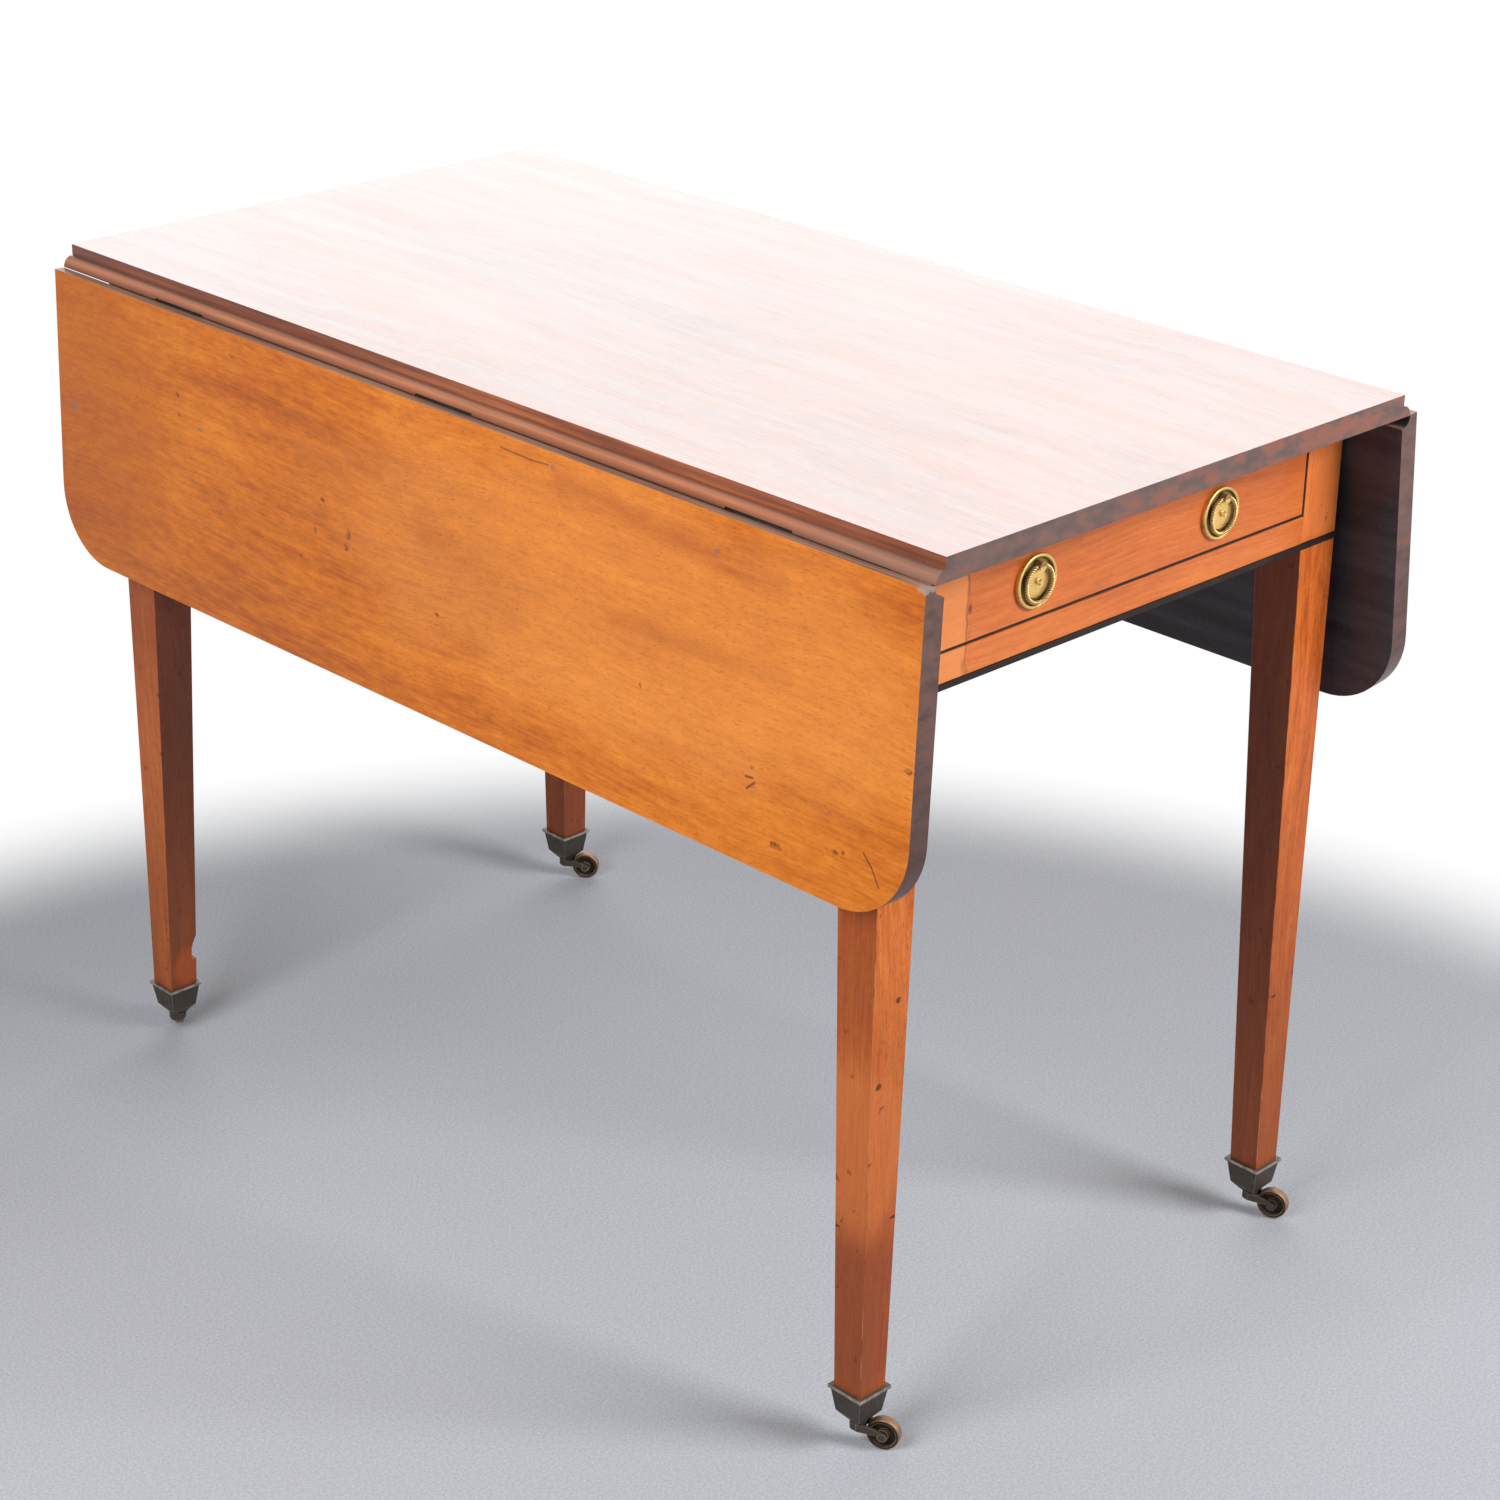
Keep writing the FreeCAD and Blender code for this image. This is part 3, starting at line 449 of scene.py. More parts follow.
def top_mahogany():
    surface = Surface("top_mahogany")
    grain = Grain(surface, "Y")
    value = surface.total((grain.cloud, 1.1), (grain.streak, 1.2), (grain.line, 0.9), (grain.mottle, 0.6))
    colour = surface.ramp(value, TOP_TONES)
    colour = surface.paint(colour, grain.pore, 0.3, TOP_PORE)
    at = surface.warp(surface.place, scale=14.0, amount=0.09)
    for across, along, half_across, half_along in TOP_SMUDGES:
        blot = surface.blot(at, (across, along, top_high.z), (half_across, half_along, SMUDGE_DEPTH))
        colour = surface.paint(colour, blot, 0.32, TOP_SMUDGE)
    sideways, _, upward = surface.parts(surface.facing)
    side = surface.span(surface.size(sideways), 0.25, 0.6)
    low = surface.span(surface.height, *MOULDING_HEIGHTS)
    colour = surface.mix(surface.most(side, low), colour, moulding_colour(surface, upward))
    colour = board_ends(surface, colour, least=-0.05, most=0.06)
    arris = surface.times(surface.span(upward, 0.30, 0.45), surface.span(upward, 0.985, 0.95))
    arris = surface.times(arris, surface.span(surface.height, *ARRIS_HEIGHTS))
    colour = surface.mix(arris, colour, TOP_ARRIS)
    colour = worn(surface, colour, arris, TOP_ARRIS_PALE, TOP_ARRIS_DARK)
    colour = underside(surface, colour, (0, 0, -1))
    surface.set(Base_Color=colour)
    polish(surface, grain, roughness=0.34, shine=0.5, coat=1.0, coat_roughness=0.2)
    surface.set(Coat_Weight=surface.span(upward, 0.92, 0.99, 0.08, 1.0))
    return surface.material


# Old knocks on the near leaf's face. Stains and dents: place along it, height, and half size each way
LEAF_STAINS = [
    (0.1015, 0.5800, 0.0040, 0.0050),
    (0.1045, 0.5695, 0.0040, 0.0040),
    (0.1336, 0.5999, 0.0035, 0.0020),
    (0.1428, 0.5729, 0.0024, 0.0030),
    (0.1610, 0.5473, 0.0018, 0.0024),
    (-0.0056, 0.5461, 0.0026, 0.0024),
    (-0.2297, 0.5585, 0.0018, 0.0022),
    (-0.3430, 0.5339, 0.0020, 0.0020),
    (-0.3695, 0.4837, 0.0075, 0.0036),
    (-0.4251, 0.4988, 0.0040, 0.0025),
    (-0.4324, 0.5007, 0.0020, 0.0025),
    (-0.4870, 0.5781, 0.0040, 0.0030),
    (0.3201, 0.6223, 0.0020, 0.0030),
    (0.3221, 0.6385, 0.0030, 0.0020),
    (0.2467, 0.6876, 0.0060, 0.0020),
]
LEAF_DENTS = [
    (0.4708, 0.5930, 0.0055, 0.0060),
    (-0.1322, 0.6952, 0.0040, 0.0022),
    (-0.3016, 0.6794, 0.0040, 0.0025),
    (0.2931, 0.6164, 0.0035, 0.0018),
]
# Cuts, and broad dark streaks in the wood: start, end (along, height), half width and strength
LEAF_LINES = [
    ((-0.3376, 0.5254), (-0.3445, 0.5262), 0.0013, 0.75),
    ((-0.3391, 0.5169), (-0.3466, 0.5232), 0.0014, 0.75),
    ((-0.4515, 0.5074), (-0.4595, 0.4992), 0.0010, 0.8),
    ((-0.4595, 0.4992), (-0.4669, 0.4872), 0.0010, 0.8),
    ((-0.0756, 0.6957), (-0.1084, 0.6945), 0.0012, 0.55),
    ((-0.1084, 0.6945), (-0.1279, 0.6956), 0.0012, 0.6),
]
LEAF_STREAKS = [
    ((-0.1400, 0.6850), (-0.3600, 0.6690), 0.0170, 0.40),
    ((-0.2600, 0.6749), (-0.3300, 0.6726), 0.0130, 0.25),
    ((0.0100, 0.6049), (-0.0900, 0.5778), 0.0300, 0.34),
    ((-0.2000, 0.6006), (-0.3685, 0.6069), 0.0150, 0.30),
    ((0.1600, 0.6300), (0.0700, 0.6364), 0.0170, 0.35),
]
LEAF_PLANE = (0, 1, 1)
LEAF_STREAK = tone(168, 72, 30)
LEAF_STAIN = tone(104, 44, 22)
LEAF_DENT = tone(146, 112, 96)
LEAF_CUT = tone(100, 46, 26)
# Chipped upper corner at the drawer end
CORNER_PLACE = (-0.2640, leaf_low.y + 0.002, leaf_high.z - 0.001)
CORNER_SIZE = (0.0110, 0.0075, 0.0036)
CORNER_GREY = tone(176, 164, 156)


def leaf_marks(surface, grain, colour):
    """Streaks, dark stains, cuts and grey dents on the leaf's outer face."""
    broad = surface.vector("MULTIPLY", surface.warp(surface.place, scale=40.0, amount=0.012), LEAF_PLANE)
    at = surface.vector("MULTIPLY", surface.warp(surface.place, scale=150.0, amount=0.004), LEAF_PLANE)
    fine = surface.stretched(LEAF_PLANE)
    uneven = surface.span(grain.streak, 0.38, 0.6, 0.35, 1.0)
    for begin, finish, half_width, strength in LEAF_STREAKS:
        streak = surface.stroke(broad, (0, *begin), (0, *finish), half_width, core=0.0)
        colour = surface.paint(colour, surface.times(streak, strength), uneven, LEAF_STREAK)
    speckled = surface.span(surface.noise(surface.place, scale=420.0), 0.42, 0.58, 0.3, 0.8)
    for along, height, half_along, half_height in LEAF_STAINS:
        blot = surface.blot(at, (0, along, height), (1, half_along, half_height))
        colour = surface.paint(colour, blot, speckled, LEAF_STAIN)
    for along, height, half_along, half_height in LEAF_DENTS:
        blot = surface.blot(at, (0, along, height), (1, half_along, half_height))
        colour = surface.paint(colour, blot, 0.65, LEAF_DENT)
    for begin, finish, half_width, strength in LEAF_LINES:
        cut = surface.stroke(fine, (0, *begin), (0, *finish), half_width)
        colour = surface.paint(colour, cut, strength, LEAF_CUT)
    return colour


def chipped_corner(surface, colour):
    at = surface.warp(surface.place, scale=220.0, amount=0.006)
    return surface.paint(colour, surface.blot(at, CORNER_PLACE, CORNER_SIZE), 0.65, CORNER_GREY)


# Painted light on both leaves: a broad painted sheen, and a darker painted shade towards the far end: place
# along, height, half size each way, and tint
LEAF_PAINTED_LIGHT = [
    (-0.20, 0.610, 0.42, 0.130, tone(255, 162, 78)),
    (0.46, 0.590, 0.16, 0.160, tone(192, 92, 20)),
]
LEAF_PAINTED_LIGHT_DEPTH = 0.15
# Heights between which the leaf's ends grow darker
LEAF_END_RUN = (0.65, 0.52)
LEAF_TONES = [(0.15, tone(186, 88, 12)), (0.5, tone(222, 120, 27)), (0.85, tone(246, 146, 47))]
LEAF_PORE = tone(140, 62, 18)
# The lip's worn grey, painted paler as light to lift the shade under the top's bead
LEAF_LIP_SHADE_LIFTED_DARK = tone(150, 114, 98)
LEAF_LIP_SHADE_LIFTED_LIGHT = tone(186, 150, 130)
LEAF_END_LOW = tone(62, 42, 40)
LEAF_ARRIS_PALE = tone(222, 160, 118)
LEAF_ARRIS_DARK = tone(120, 60, 36)


def leaf_mahogany(name, side):
    """A leaf's finish; side is -1 for the near leaf, which has the old knocks, and 1 for the far one."""
    surface = Surface(name)
    grain = Grain(surface, "Y", offset=3.0 + side)
    value = surface.total(
        (grain.cloud, 0.8), (grain.figure, 0.8), (grain.streak, 0.6), (grain.line, 0.5), (grain.mottle, 0.7)
    )
    colour = surface.ramp(value, LEAF_TONES)
    at = surface.warp(surface.place, scale=9.0, amount=0.10)
    # Painted sheen and painted shade over the wood
    for along, height, half_along, half_height, tint in LEAF_PAINTED_LIGHT:
        centre = (side * abs(top_low.x), along, height)
        blot = surface.blot(at, centre, (LEAF_PAINTED_LIGHT_DEPTH, half_along, half_height))
        colour = surface.paint(colour, blot, 0.42, tint)
    colour = surface.paint(colour, grain.pore, 0.3, LEAF_PORE)
    if side < 0:
        colour = leaf_marks(surface, grain, colour)
    turned = surface.towards((side, 0, 0))
    arris = surface.times(surface.span(turned, 0.30, 0.45), surface.span(turned, 0.97, 0.90))
    # Upward faces of the lip: worn grey painted paler as light, to lift the shade under the bead
    shade_lifted_lip = surface.mix(surface.span(long_streaks(surface), 0.35, 0.65), LEAF_LIP_SHADE_LIFTED_DARK, LEAF_LIP_SHADE_LIFTED_LIGHT)
    colour = surface.mix(surface.span(surface.parts(surface.facing)[2], 0.6, 0.9), colour, shade_lifted_lip)
    colour = board_ends(surface, colour, least=-0.07, most=-0.07)
    low_end = surface.span(surface.height, *LEAF_END_RUN, 0.0, 0.45)
    colour = surface.paint(colour, end_mask(surface), low_end, LEAF_END_LOW)
    colour = worn(surface, colour, arris, LEAF_ARRIS_PALE, LEAF_ARRIS_DARK)
    if side < 0:
        colour = chipped_corner(surface, colour)
    colour = underside(surface, colour, (-side, 0, 0))
    surface.set(Base_Color=colour)
    polish(surface, grain, roughness=0.42, shine=0.13, coat=0.25, coat_roughness=0.2)
    return surface.material


# Frieze: a paler veneer patch at the left, its seam, and the line where rail and leg meet
SEAM_X = -0.1700
PATCH_BLEND = 0.001
SEAM_WIDTHS = (0.0003, 0.0016)
SEAM_STAIN_WIDTHS = (0.001, 0.006)
JOINT_WIDTHS = (0.0003, 0.0012)
SEAM_KNOCK_PLACE = (SEAM_X + 0.003, front_low.y, 0.651)
SEAM_KNOCK_SIZE = (0.0024, 0.02, 0.0045)
FRIEZE_DARKER_RUN = (0.02, 0.22)
FRIEZE_TONES = [(0.15, tone(188, 88, 34)), (0.5, tone(222, 116, 50)), (0.85, tone(246, 142, 66))]
FRIEZE_PORE = tone(136, 60, 24)
FRIEZE_PATCH = tone(255, 158, 88)
FRIEZE_SEAM = tone(110, 58, 34)
FRIEZE_STAIN = tone(120, 66, 40)
FRIEZE_DARKER = tone(188, 84, 36)
FRIEZE_JOINT = tone(86, 46, 32)
FRIEZE_KNOCK = tone(80, 42, 28)
FRIEZE_ARRIS_PALE = tone(226, 150, 100)
FRIEZE_ARRIS_DARK = tone(96, 46, 28)


def frieze_mahogany():
    """Veneered front of the drawer, rails and the back."""
    surface = Surface("frieze_mahogany")
    grain = Grain(surface, "X", offset=7.0)
    value = surface.total((grain.cloud, 1.0), (grain.figure, 0.8), (grain.line, 0.5), (grain.mottle, 0.35))
    colour = surface.ramp(value, FRIEZE_TONES)
    colour = surface.paint(colour, grain.pore, 0.2, FRIEZE_PORE)
    across = surface.parts(surface.warp(surface.place, scale=60.0, amount=0.005))[0]
    patch = surface.span(across, SEAM_X + PATCH_BLEND, SEAM_X - PATCH_BLEND)
    colour = surface.paint(colour, patch, 0.6, FRIEZE_PATCH)
    from_seam = surface.size(surface.math("SUBTRACT", across, SEAM_X))
    colour = surface.paint(colour, surface.fade(from_seam, *SEAM_WIDTHS), 0.4, FRIEZE_SEAM)
    runs = surface.noise(surface.stretched((1, 1, 0.25)), scale=210.0, detail=3.0)
    stain = surface.times(surface.span(runs, 0.5, 0.66), surface.fade(from_seam, *SEAM_STAIN_WIDTHS))
    colour = surface.paint(colour, stain, 0.5, FRIEZE_STAIN)
    colour = surface.mix(surface.span(surface.across, *FRIEZE_DARKER_RUN, 0.0, 0.28), colour, FRIEZE_DARKER)
    from_leg = surface.size(surface.math("SUBTRACT", surface.size(surface.across), rail_high.x))
    colour = surface.paint(colour, surface.fade(from_leg, *JOINT_WIDTHS), 0.6, FRIEZE_JOINT)
    knock = surface.blot(surface.place, SEAM_KNOCK_PLACE, SEAM_KNOCK_SIZE)
    colour = surface.paint(colour, knock, 0.7, FRIEZE_KNOCK)
    colour = worn(surface, colour, surface.arrises(), FRIEZE_ARRIS_PALE, FRIEZE_ARRIS_DARK)
    surface.set(Base_Color=colour)
    polish(surface, grain, roughness=0.4, shine=0.25, coat=0.15, coat_roughness=0.2)
    return surface.material


# Old repairs and knocks on the legs: place and half size
LEG_KNOCKS = [
    ((-0.2241, -0.4420, 0.3734), (0.0030, 0.006, 0.0030)),
    ((-0.2411, -0.4420, 0.3102), (0.0035, 0.006, 0.0035)),
    ((-0.2200, -0.4420, 0.1955), (0.0060, 0.008, 0.0018)),
    ((-0.2490, -0.4110, 0.1870), (0.0060, 0.008, 0.0018)),
    ((0.2120, -0.4253, 0.2030), (0.0080, 0.008, 0.0050)),
    ((0.2241, -0.4420, 0.2117), (0.0040, 0.006, 0.0018)),
]
SPLICE_PLACE = (-0.2370, -0.4290, 0.1180)
SPLICE_SIZE = (0.05, 0.05, 0.0880)
# Painted light on the near left leg's outer face, below the leaf's painted shadow
LEG_LIT_PATCH_PLACE = (-0.2470, -0.4290, 0.2550)
LEG_LIT_PATCH_SIZE = (0.05, 0.05, 0.0900)
REPAIR_PLACE = (-0.2300, 0.4180, 0.0700)
REPAIR_SIZE = (0.02, 0.02, 0.0240)
# Heights between which the legs' painted light at the top, the leaves' painted shadow, the grime and painted
# shade near the floor and the inner faces' painted shade grow, and for the inner faces the places across the
# table too
LEG_TOP_PAINTED_LIGHT_RUN = (0.600, 0.612)
LEG_LEAF_SHADOW_RUN = (0.28, 0.40)
LEG_GRIME_AND_SHADE_RUN = (0.50, 0.05)
LEG_INNER_SHADE_RUN = (0.06, 0.30)
LEG_INNER_SHADE_ACROSS = (-0.2, 0.2)
LEG_TONES = [(0.15, tone(168, 74, 26)), (0.5, tone(214, 108, 44)), (0.85, tone(236, 132, 62))]
LEG_PORE = tone(96, 44, 24)
LEG_TOP_PAINTED_LIGHT = tone(248, 142, 78)
LEG_LEAF_PAINTED_SHADOW = tone(128, 60, 34)
LEG_GRIME_AND_SHADE = tone(122, 64, 42)
LEG_SPLICE = tone(142, 68, 44)
LEG_PAINTED_LIGHT_PATCH = tone(240, 138, 76)
LEG_TICK = tone(72, 36, 24)
LEG_KNOCK = tone(62, 36, 28)
LEG_INNER_PAINTED_SHADE = tone(78, 52, 52)
LEG_REPAIR = tone(190, 92, 48)
LEG_ARRIS_PALE = tone(236, 146, 92)
LEG_ARRIS_DARK = tone(84, 42, 28)


def leg_mahogany():
    surface = Surface("leg_mahogany")
    grain = Grain(surface, "Z", offset=11.0)
    value = surface.total((grain.cloud, 1.0), (grain.streak, 1.0), (grain.line, 0.7), (grain.mottle, 0.4))
    colour = surface.ramp(value, LEG_TONES)
    colour = surface.paint(colour, grain.pore, 0.4, LEG_PORE)
    # Painted light on the tops of the legs beside the frieze, lifting the shade under the top's overhang
    lit_leg_top = surface.span(surface.height, *LEG_TOP_PAINTED_LIGHT_RUN)
    colour = surface.paint(colour, lit_leg_top, surface.span(grain.cloud, 0.3, 0.6, 0.3, 0.6), LEG_TOP_PAINTED_LIGHT)
    # Painted shadow of the hanging leaves on the upper parts of the faces that look along -X
    outward = surface.span(surface.parts(surface.facing)[0], -0.5, -0.8)
    colour = surface.paint(colour, outward, surface.span(surface.height, *LEG_LEAF_SHADOW_RUN, 0.0, 0.5), LEG_LEAF_PAINTED_SHADOW)
    # Grime and painted shade, growing darker towards the floor
    dirt = surface.span(grain.streak, 0.35, 0.6, 0.22, 0.5)
    colour = surface.paint(colour, surface.span(surface.height, *LEG_GRIME_AND_SHADE_RUN, 0.0, 1.3), dirt, LEG_GRIME_AND_SHADE)
    colour = surface.paint(colour, surface.blot(surface.place, SPLICE_PLACE, SPLICE_SIZE), 0.45, LEG_SPLICE)
    # Painted light patch below the leaf's shadow
    colour = surface.paint(colour, surface.blot(surface.place, LEG_LIT_PATCH_PLACE, LEG_LIT_PATCH_SIZE), 0.4, LEG_PAINTED_LIGHT_PATCH)
    tick = surface.span(surface.noise(surface.place, scale=95.0), 0.68, 0.74)
    colour = surface.paint(colour, tick, 0.5, LEG_TICK)
    at = surface.warp(surface.place, scale=160.0, amount=0.003)
    for place, size in LEG_KNOCKS:
        colour = surface.paint(colour, surface.blot(at, place, size), 0.8, LEG_KNOCK)
    # Painted shade on the faces that look in under the table, deeper on the left legs
    inward = surface.vector("SIGN", surface.stretched((-1, -1, 0)))
    inner = surface.span(surface.towards(inward), 0.5, 0.8)
    inner = surface.times(inner, surface.span(surface.height, *LEG_INNER_SHADE_RUN, 0.38, 0.62))
    shade_strength = surface.span(surface.across, *LEG_INNER_SHADE_ACROSS, 1.2, 0.85)
    colour = surface.paint(colour, inner, shade_strength, LEG_INNER_PAINTED_SHADE)
    colour = surface.paint(colour, surface.blot(surface.place, REPAIR_PLACE, REPAIR_SIZE), 0.7, LEG_REPAIR)
    colour = worn(surface, colour, surface.arrises(), LEG_ARRIS_PALE, LEG_ARRIS_DARK)
    surface.set(Base_Color=colour)
    polish(surface, grain, roughness=0.42, shine=0.15, coat=0.04, coat_roughness=0.22)
    return surface.material


PLAIN_PORE = tone(70, 48, 30)
PLAIN_DUST = tone(124, 94, 66)


def plain_wood(name, dark, light):
    """Unpolished inner wood."""
    surface = Surface(name)
    grain = Grain(surface, "Y", offset=17.0)
    value = surface.total((grain.cloud, 0.6), (grain.streak, 0.8), (grain.line, 1.3), (grain.mottle, 0.8))
    colour = surface.ramp(value, [(0.2, dark), (0.8, light)])
    colour = surface.paint(colour, grain.pore, 0.35, PLAIN_PORE)
    dust = surface.span(surface.noise(surface.place, scale=12.0, detail=3.0), 0.45, 0.7)
    colour = surface.paint(colour, dust, 0.3, PLAIN_DUST)
    surface.set(Base_Color=colour, Roughness=surface.span(grain.streak, 0.3, 0.7, 0.62, 0.78))
    surface.bump(surface.math("SUBTRACT", grain.line, grain.pore), strength=0.25, distance=BARE_WOOD_DEPTH)
    return surface.material


INLAY_DARK = tone(24, 17, 15)
INLAY_LIGHT = tone(42, 29, 25)
INLAY_RUBBED = tone(88, 54, 40)


def black_inlay():
    surface = Surface("black_inlay")
    streak = surface.noise(surface.stretched((0.1, 1, 1)), scale=500.0, detail=3.0)
    rubbed = surface.span(surface.noise(surface.place, scale=60.0, detail=3.0), 0.5, 0.72)
    colour = surface.mix(surface.span(streak, 0.3, 0.7), INLAY_DARK, INLAY_LIGHT)
    colour = surface.paint(colour, rubbed, 0.25, INLAY_RUBBED)
    roughness = surface.span(streak, 0.3, 0.7, 0.45, 0.6)
    surface.set(Base_Color=colour, Roughness=roughness, Specular_IOR_Level=0.22)
    return surface.material


# Metal
PATINA_DEPTH = 0.0003
CAP_RIM_LOW = cap_high.z - 0.0026
CAP_RIM_BLEND = 0.0003
PULL_CENTRE = ((plate_low.x + plate_high.x) / 2, 0, (plate_low.z + plate_high.z) / 2)
PULL_RADIUS = (plate_high.x - plate_low.x) / 2
PULL_BOSS_SHARE = 0.608
PULL_RIM_SHARE = 0.843
PULL_BOSS_RADIUS = PULL_RADIUS * PULL_BOSS_SHARE
PULL_RIM_INNER = PULL_RADIUS * PULL_RIM_SHARE
GROOVE_BLEND = 0.0008
# Heights above a pull's centre between which its groove grows lighter
GROOVE_RISE = (0.004, 0.012)


def aged_metal(name, bright, pale, dirt, roughness, metal, hollow_reach, edge_reach, groove=None, rim=None):
    """Cast metal with dirt in its hollows and rubbed edges. Masks made by groove and rim add to them."""
    surface = Surface(name)
    patina = surface.noise(surface.place, scale=260.0, detail=4.0, roughness=0.6)
    blotch = surface.noise(surface.place, scale=70.0, detail=3.0)
    colour = surface.mix(surface.span(patina, 0.35, 0.7), bright, dirt)
    colour = surface.paint(bright, surface.span(blotch, 0.4, 0.7), 0.5, colour)
    hollow = surface.hollows(hollow_reach)
    if groove:
        hollow = surface.most(hollow, groove(surface))
    colour = surface.mix(hollow, colour, dirt)
    rubbed = surface.times(surface.edges(edge_reach), surface.span(blotch, 0.3, 0.55))
    if rim:
        rubbed = surface.most(rubbed, rim(surface))
    colour = surface.paint(colour, rubbed, 0.8, pale)
    dull = surface.span(patina, 0.3, 0.7, roughness, roughness + 0.16)
    surface.set(Base_Color=colour, Metallic=metal, Roughness=surface.math("ADD", dull, hollow))
    surface.bump(patina, strength=0.12, distance=PATINA_DEPTH)
    return surface.material


def pull_groove(surface):
    """Sunk field of a pull's plate, between its boss and its rim."""
    at = surface.vector("SUBTRACT", surface.vector("ABSOLUTE", surface.place), PULL_CENTRE)
    reach = surface.vector("LENGTH", surface.vector("MULTIPLY", at, (1, 0, 1)))
    inner = surface.span(reach, PULL_BOSS_RADIUS - GROOVE_BLEND, PULL_BOSS_RADIUS)
    outer = surface.fade(reach, PULL_RIM_INNER, PULL_RIM_INNER + GROOVE_BLEND)
    rise = surface.span(surface.parts(at)[2], *GROOVE_RISE, 0.85, 0.55)
    return surface.times(surface.times(inner, outer), rise)


def cap_rim(surface):
    """The rim round the mouth of a caster's cap, rubbed bright."""
    patch = surface.span(surface.noise(surface.place, scale=140.0), 0.35, 0.6, 0.5, 1.0)
    upright = surface.span(surface.parts(surface.facing)[2], 0.9, 0.6, 0.3, 1.0)
    at_rim = surface.span(surface.height, CAP_RIM_LOW, CAP_RIM_LOW + CAP_RIM_BLEND)
    return surface.times(patch, surface.times(at_rim, upright))


def axle_line(mesh):
    """The direction that most of a wheel's flat faces look along."""
    facing = {}
    for face in mesh.polygons:
        key = tuple(round(part, 2) for part in face.normal)
        facing[key] = facing.get(key, 0) + face.area
    return Vector(max(facing, key=facing.get)).normalized()


def wheel_brass(name):
    """Brass with a rubbed tread and black sides."""
    axle = axle_line(nodes[name].data)

    def sides(surface):
        return surface.span(surface.size(surface.towards(axle)), 0.75, 0.95, 0.0, 0.92)

    return aged_metal(
        name + "_brass", tone(160, 124, 96), tone(216, 200, 150), tone(40, 31, 27),
        roughness=0.42, metal=0.5, hollow_reach=0.006, edge_reach=0.0010, groove=sides,
    )


def pull_brass():
    return aged_metal(
        "pull_brass", tone(240, 204, 136), tone(255, 244, 212), tone(66, 46, 28),
        roughness=0.26, metal=0.7, hollow_reach=0.0012, edge_reach=0.0005,
    )


def pull_plate_brass():
    return aged_metal(
        "pull_plate_brass", tone(236, 196, 118), tone(252, 238, 200), tone(60, 42, 28),
        roughness=0.26, metal=0.7, hollow_reach=0.003, edge_reach=0.0006, groove=pull_groove,
    )


def bronze():
    return aged_metal(
        "bronze", tone(82, 74, 66), tone(190, 178, 156), tone(50, 44, 38),
        roughness=0.42, metal=0.7, hollow_reach=0.004, edge_reach=0.0011,
    )


def cap_bronze():
    return aged_metal(
        "cap_bronze", tone(78, 70, 63), tone(186, 174, 158), tone(48, 43, 38),
        roughness=0.42, metal=0.6, hollow_reach=0.004, edge_reach=0.0010, rim=cap_rim,
    )


def hinge_iron():
    return aged_metal(
        "hinge_iron", tone(112, 102, 94), tone(158, 148, 138), tone(84, 64, 52),
        roughness=0.5, metal=0.6, hollow_reach=0.003, edge_reach=0.0006,
    )


def screw_steel():
    return aged_metal(
        "screw_steel", tone(110, 106, 102), tone(160, 156, 150), tone(70, 54, 44),
        roughness=0.45, metal=0.9, hollow_reach=0.002, edge_reach=0.0004,
    )


# Which finish each piece gets
def named(start):
    """The CAD nodes whose names begin alike."""
    return [name for name in nodes if name.startswith(start)]


def slot_finishes():
    """One finish for each slot of the record."""
    return {
        "top_mahogany": top_mahogany(),
        "leg_mahogany": leg_mahogany(),
        "frieze_mahogany": frieze_mahogany(),
        "secondary_wood": plain_wood("secondary_wood", tone(180, 114, 62), tone(226, 160, 96)),
        "drawer_oak": plain_wood("drawer_oak", tone(156, 102, 56), tone(208, 150, 90)),
        "black_inlay": black_inlay(),
        "pull_brass": pull_brass(),
        "bronze": bronze(),
        "hinge_iron": hinge_iron(),
        "screw_steel": screw_steel(),
    }


def node_finishes():
    """Finishes of the nodes that have one of their own."""
    special = {
        "leaf_left": leaf_mahogany("left_leaf_mahogany", -1),
        "leaf_right": leaf_mahogany("right_leaf_mahogany", 1),
    }
    plate = pull_plate_brass()
    special.update({name: plate for name in named("pull_plate_")})
    special.update({name: wheel_brass(name) for name in named("caster_wheel_")})
    special["caster_caps"] = cap_bronze()
    return special


def dress():
    """Gives every CAD piece its finish, and returns the finishes by slot."""
    by_slot = slot_finishes()
    by_node = node_finishes()
    for entry in frame["record"]["subparts"]:
        name = entry["node"]
        mesh = nodes[name].data
        mesh.materials.clear()
        mesh.materials.append(by_node.get(name) or by_slot[entry["material_slot"]])
    return by_slot


def soften(names, width, chips=None):
    """Rounds a CAD piece's sharp edges as use has, after any chip is cut from it."""
    for name in names:
        piece = nodes[name]
        weld = piece.modifiers.new("weld", "WELD")
        weld.merge_threshold = WELD_DISTANCE
        if chips and name in chips:
            cut = piece.modifiers.new("chip", "BOOLEAN")
            cut.operation = "DIFFERENCE"
            cut.object = chips[name]
        merge = piece.modifiers.new("merge", "DECIMATE")
        merge.decimate_type = "DISSOLVE"
        merge.angle_limit = math.radians(FLAT_ANGLE)
        bevel = piece.modifiers.new("bevel", "BEVEL")
        bevel.width = width
        bevel.segments = BEVEL_SEGMENTS
        bevel.limit_method = "ANGLE"
        bevel.angle_limit = math.radians(SHARP_ANGLE)
        bevel.harden_normals = True
        normals = piece.modifiers.new("normals", "WEIGHTED_NORMAL")
        normals.keep_sharp = True


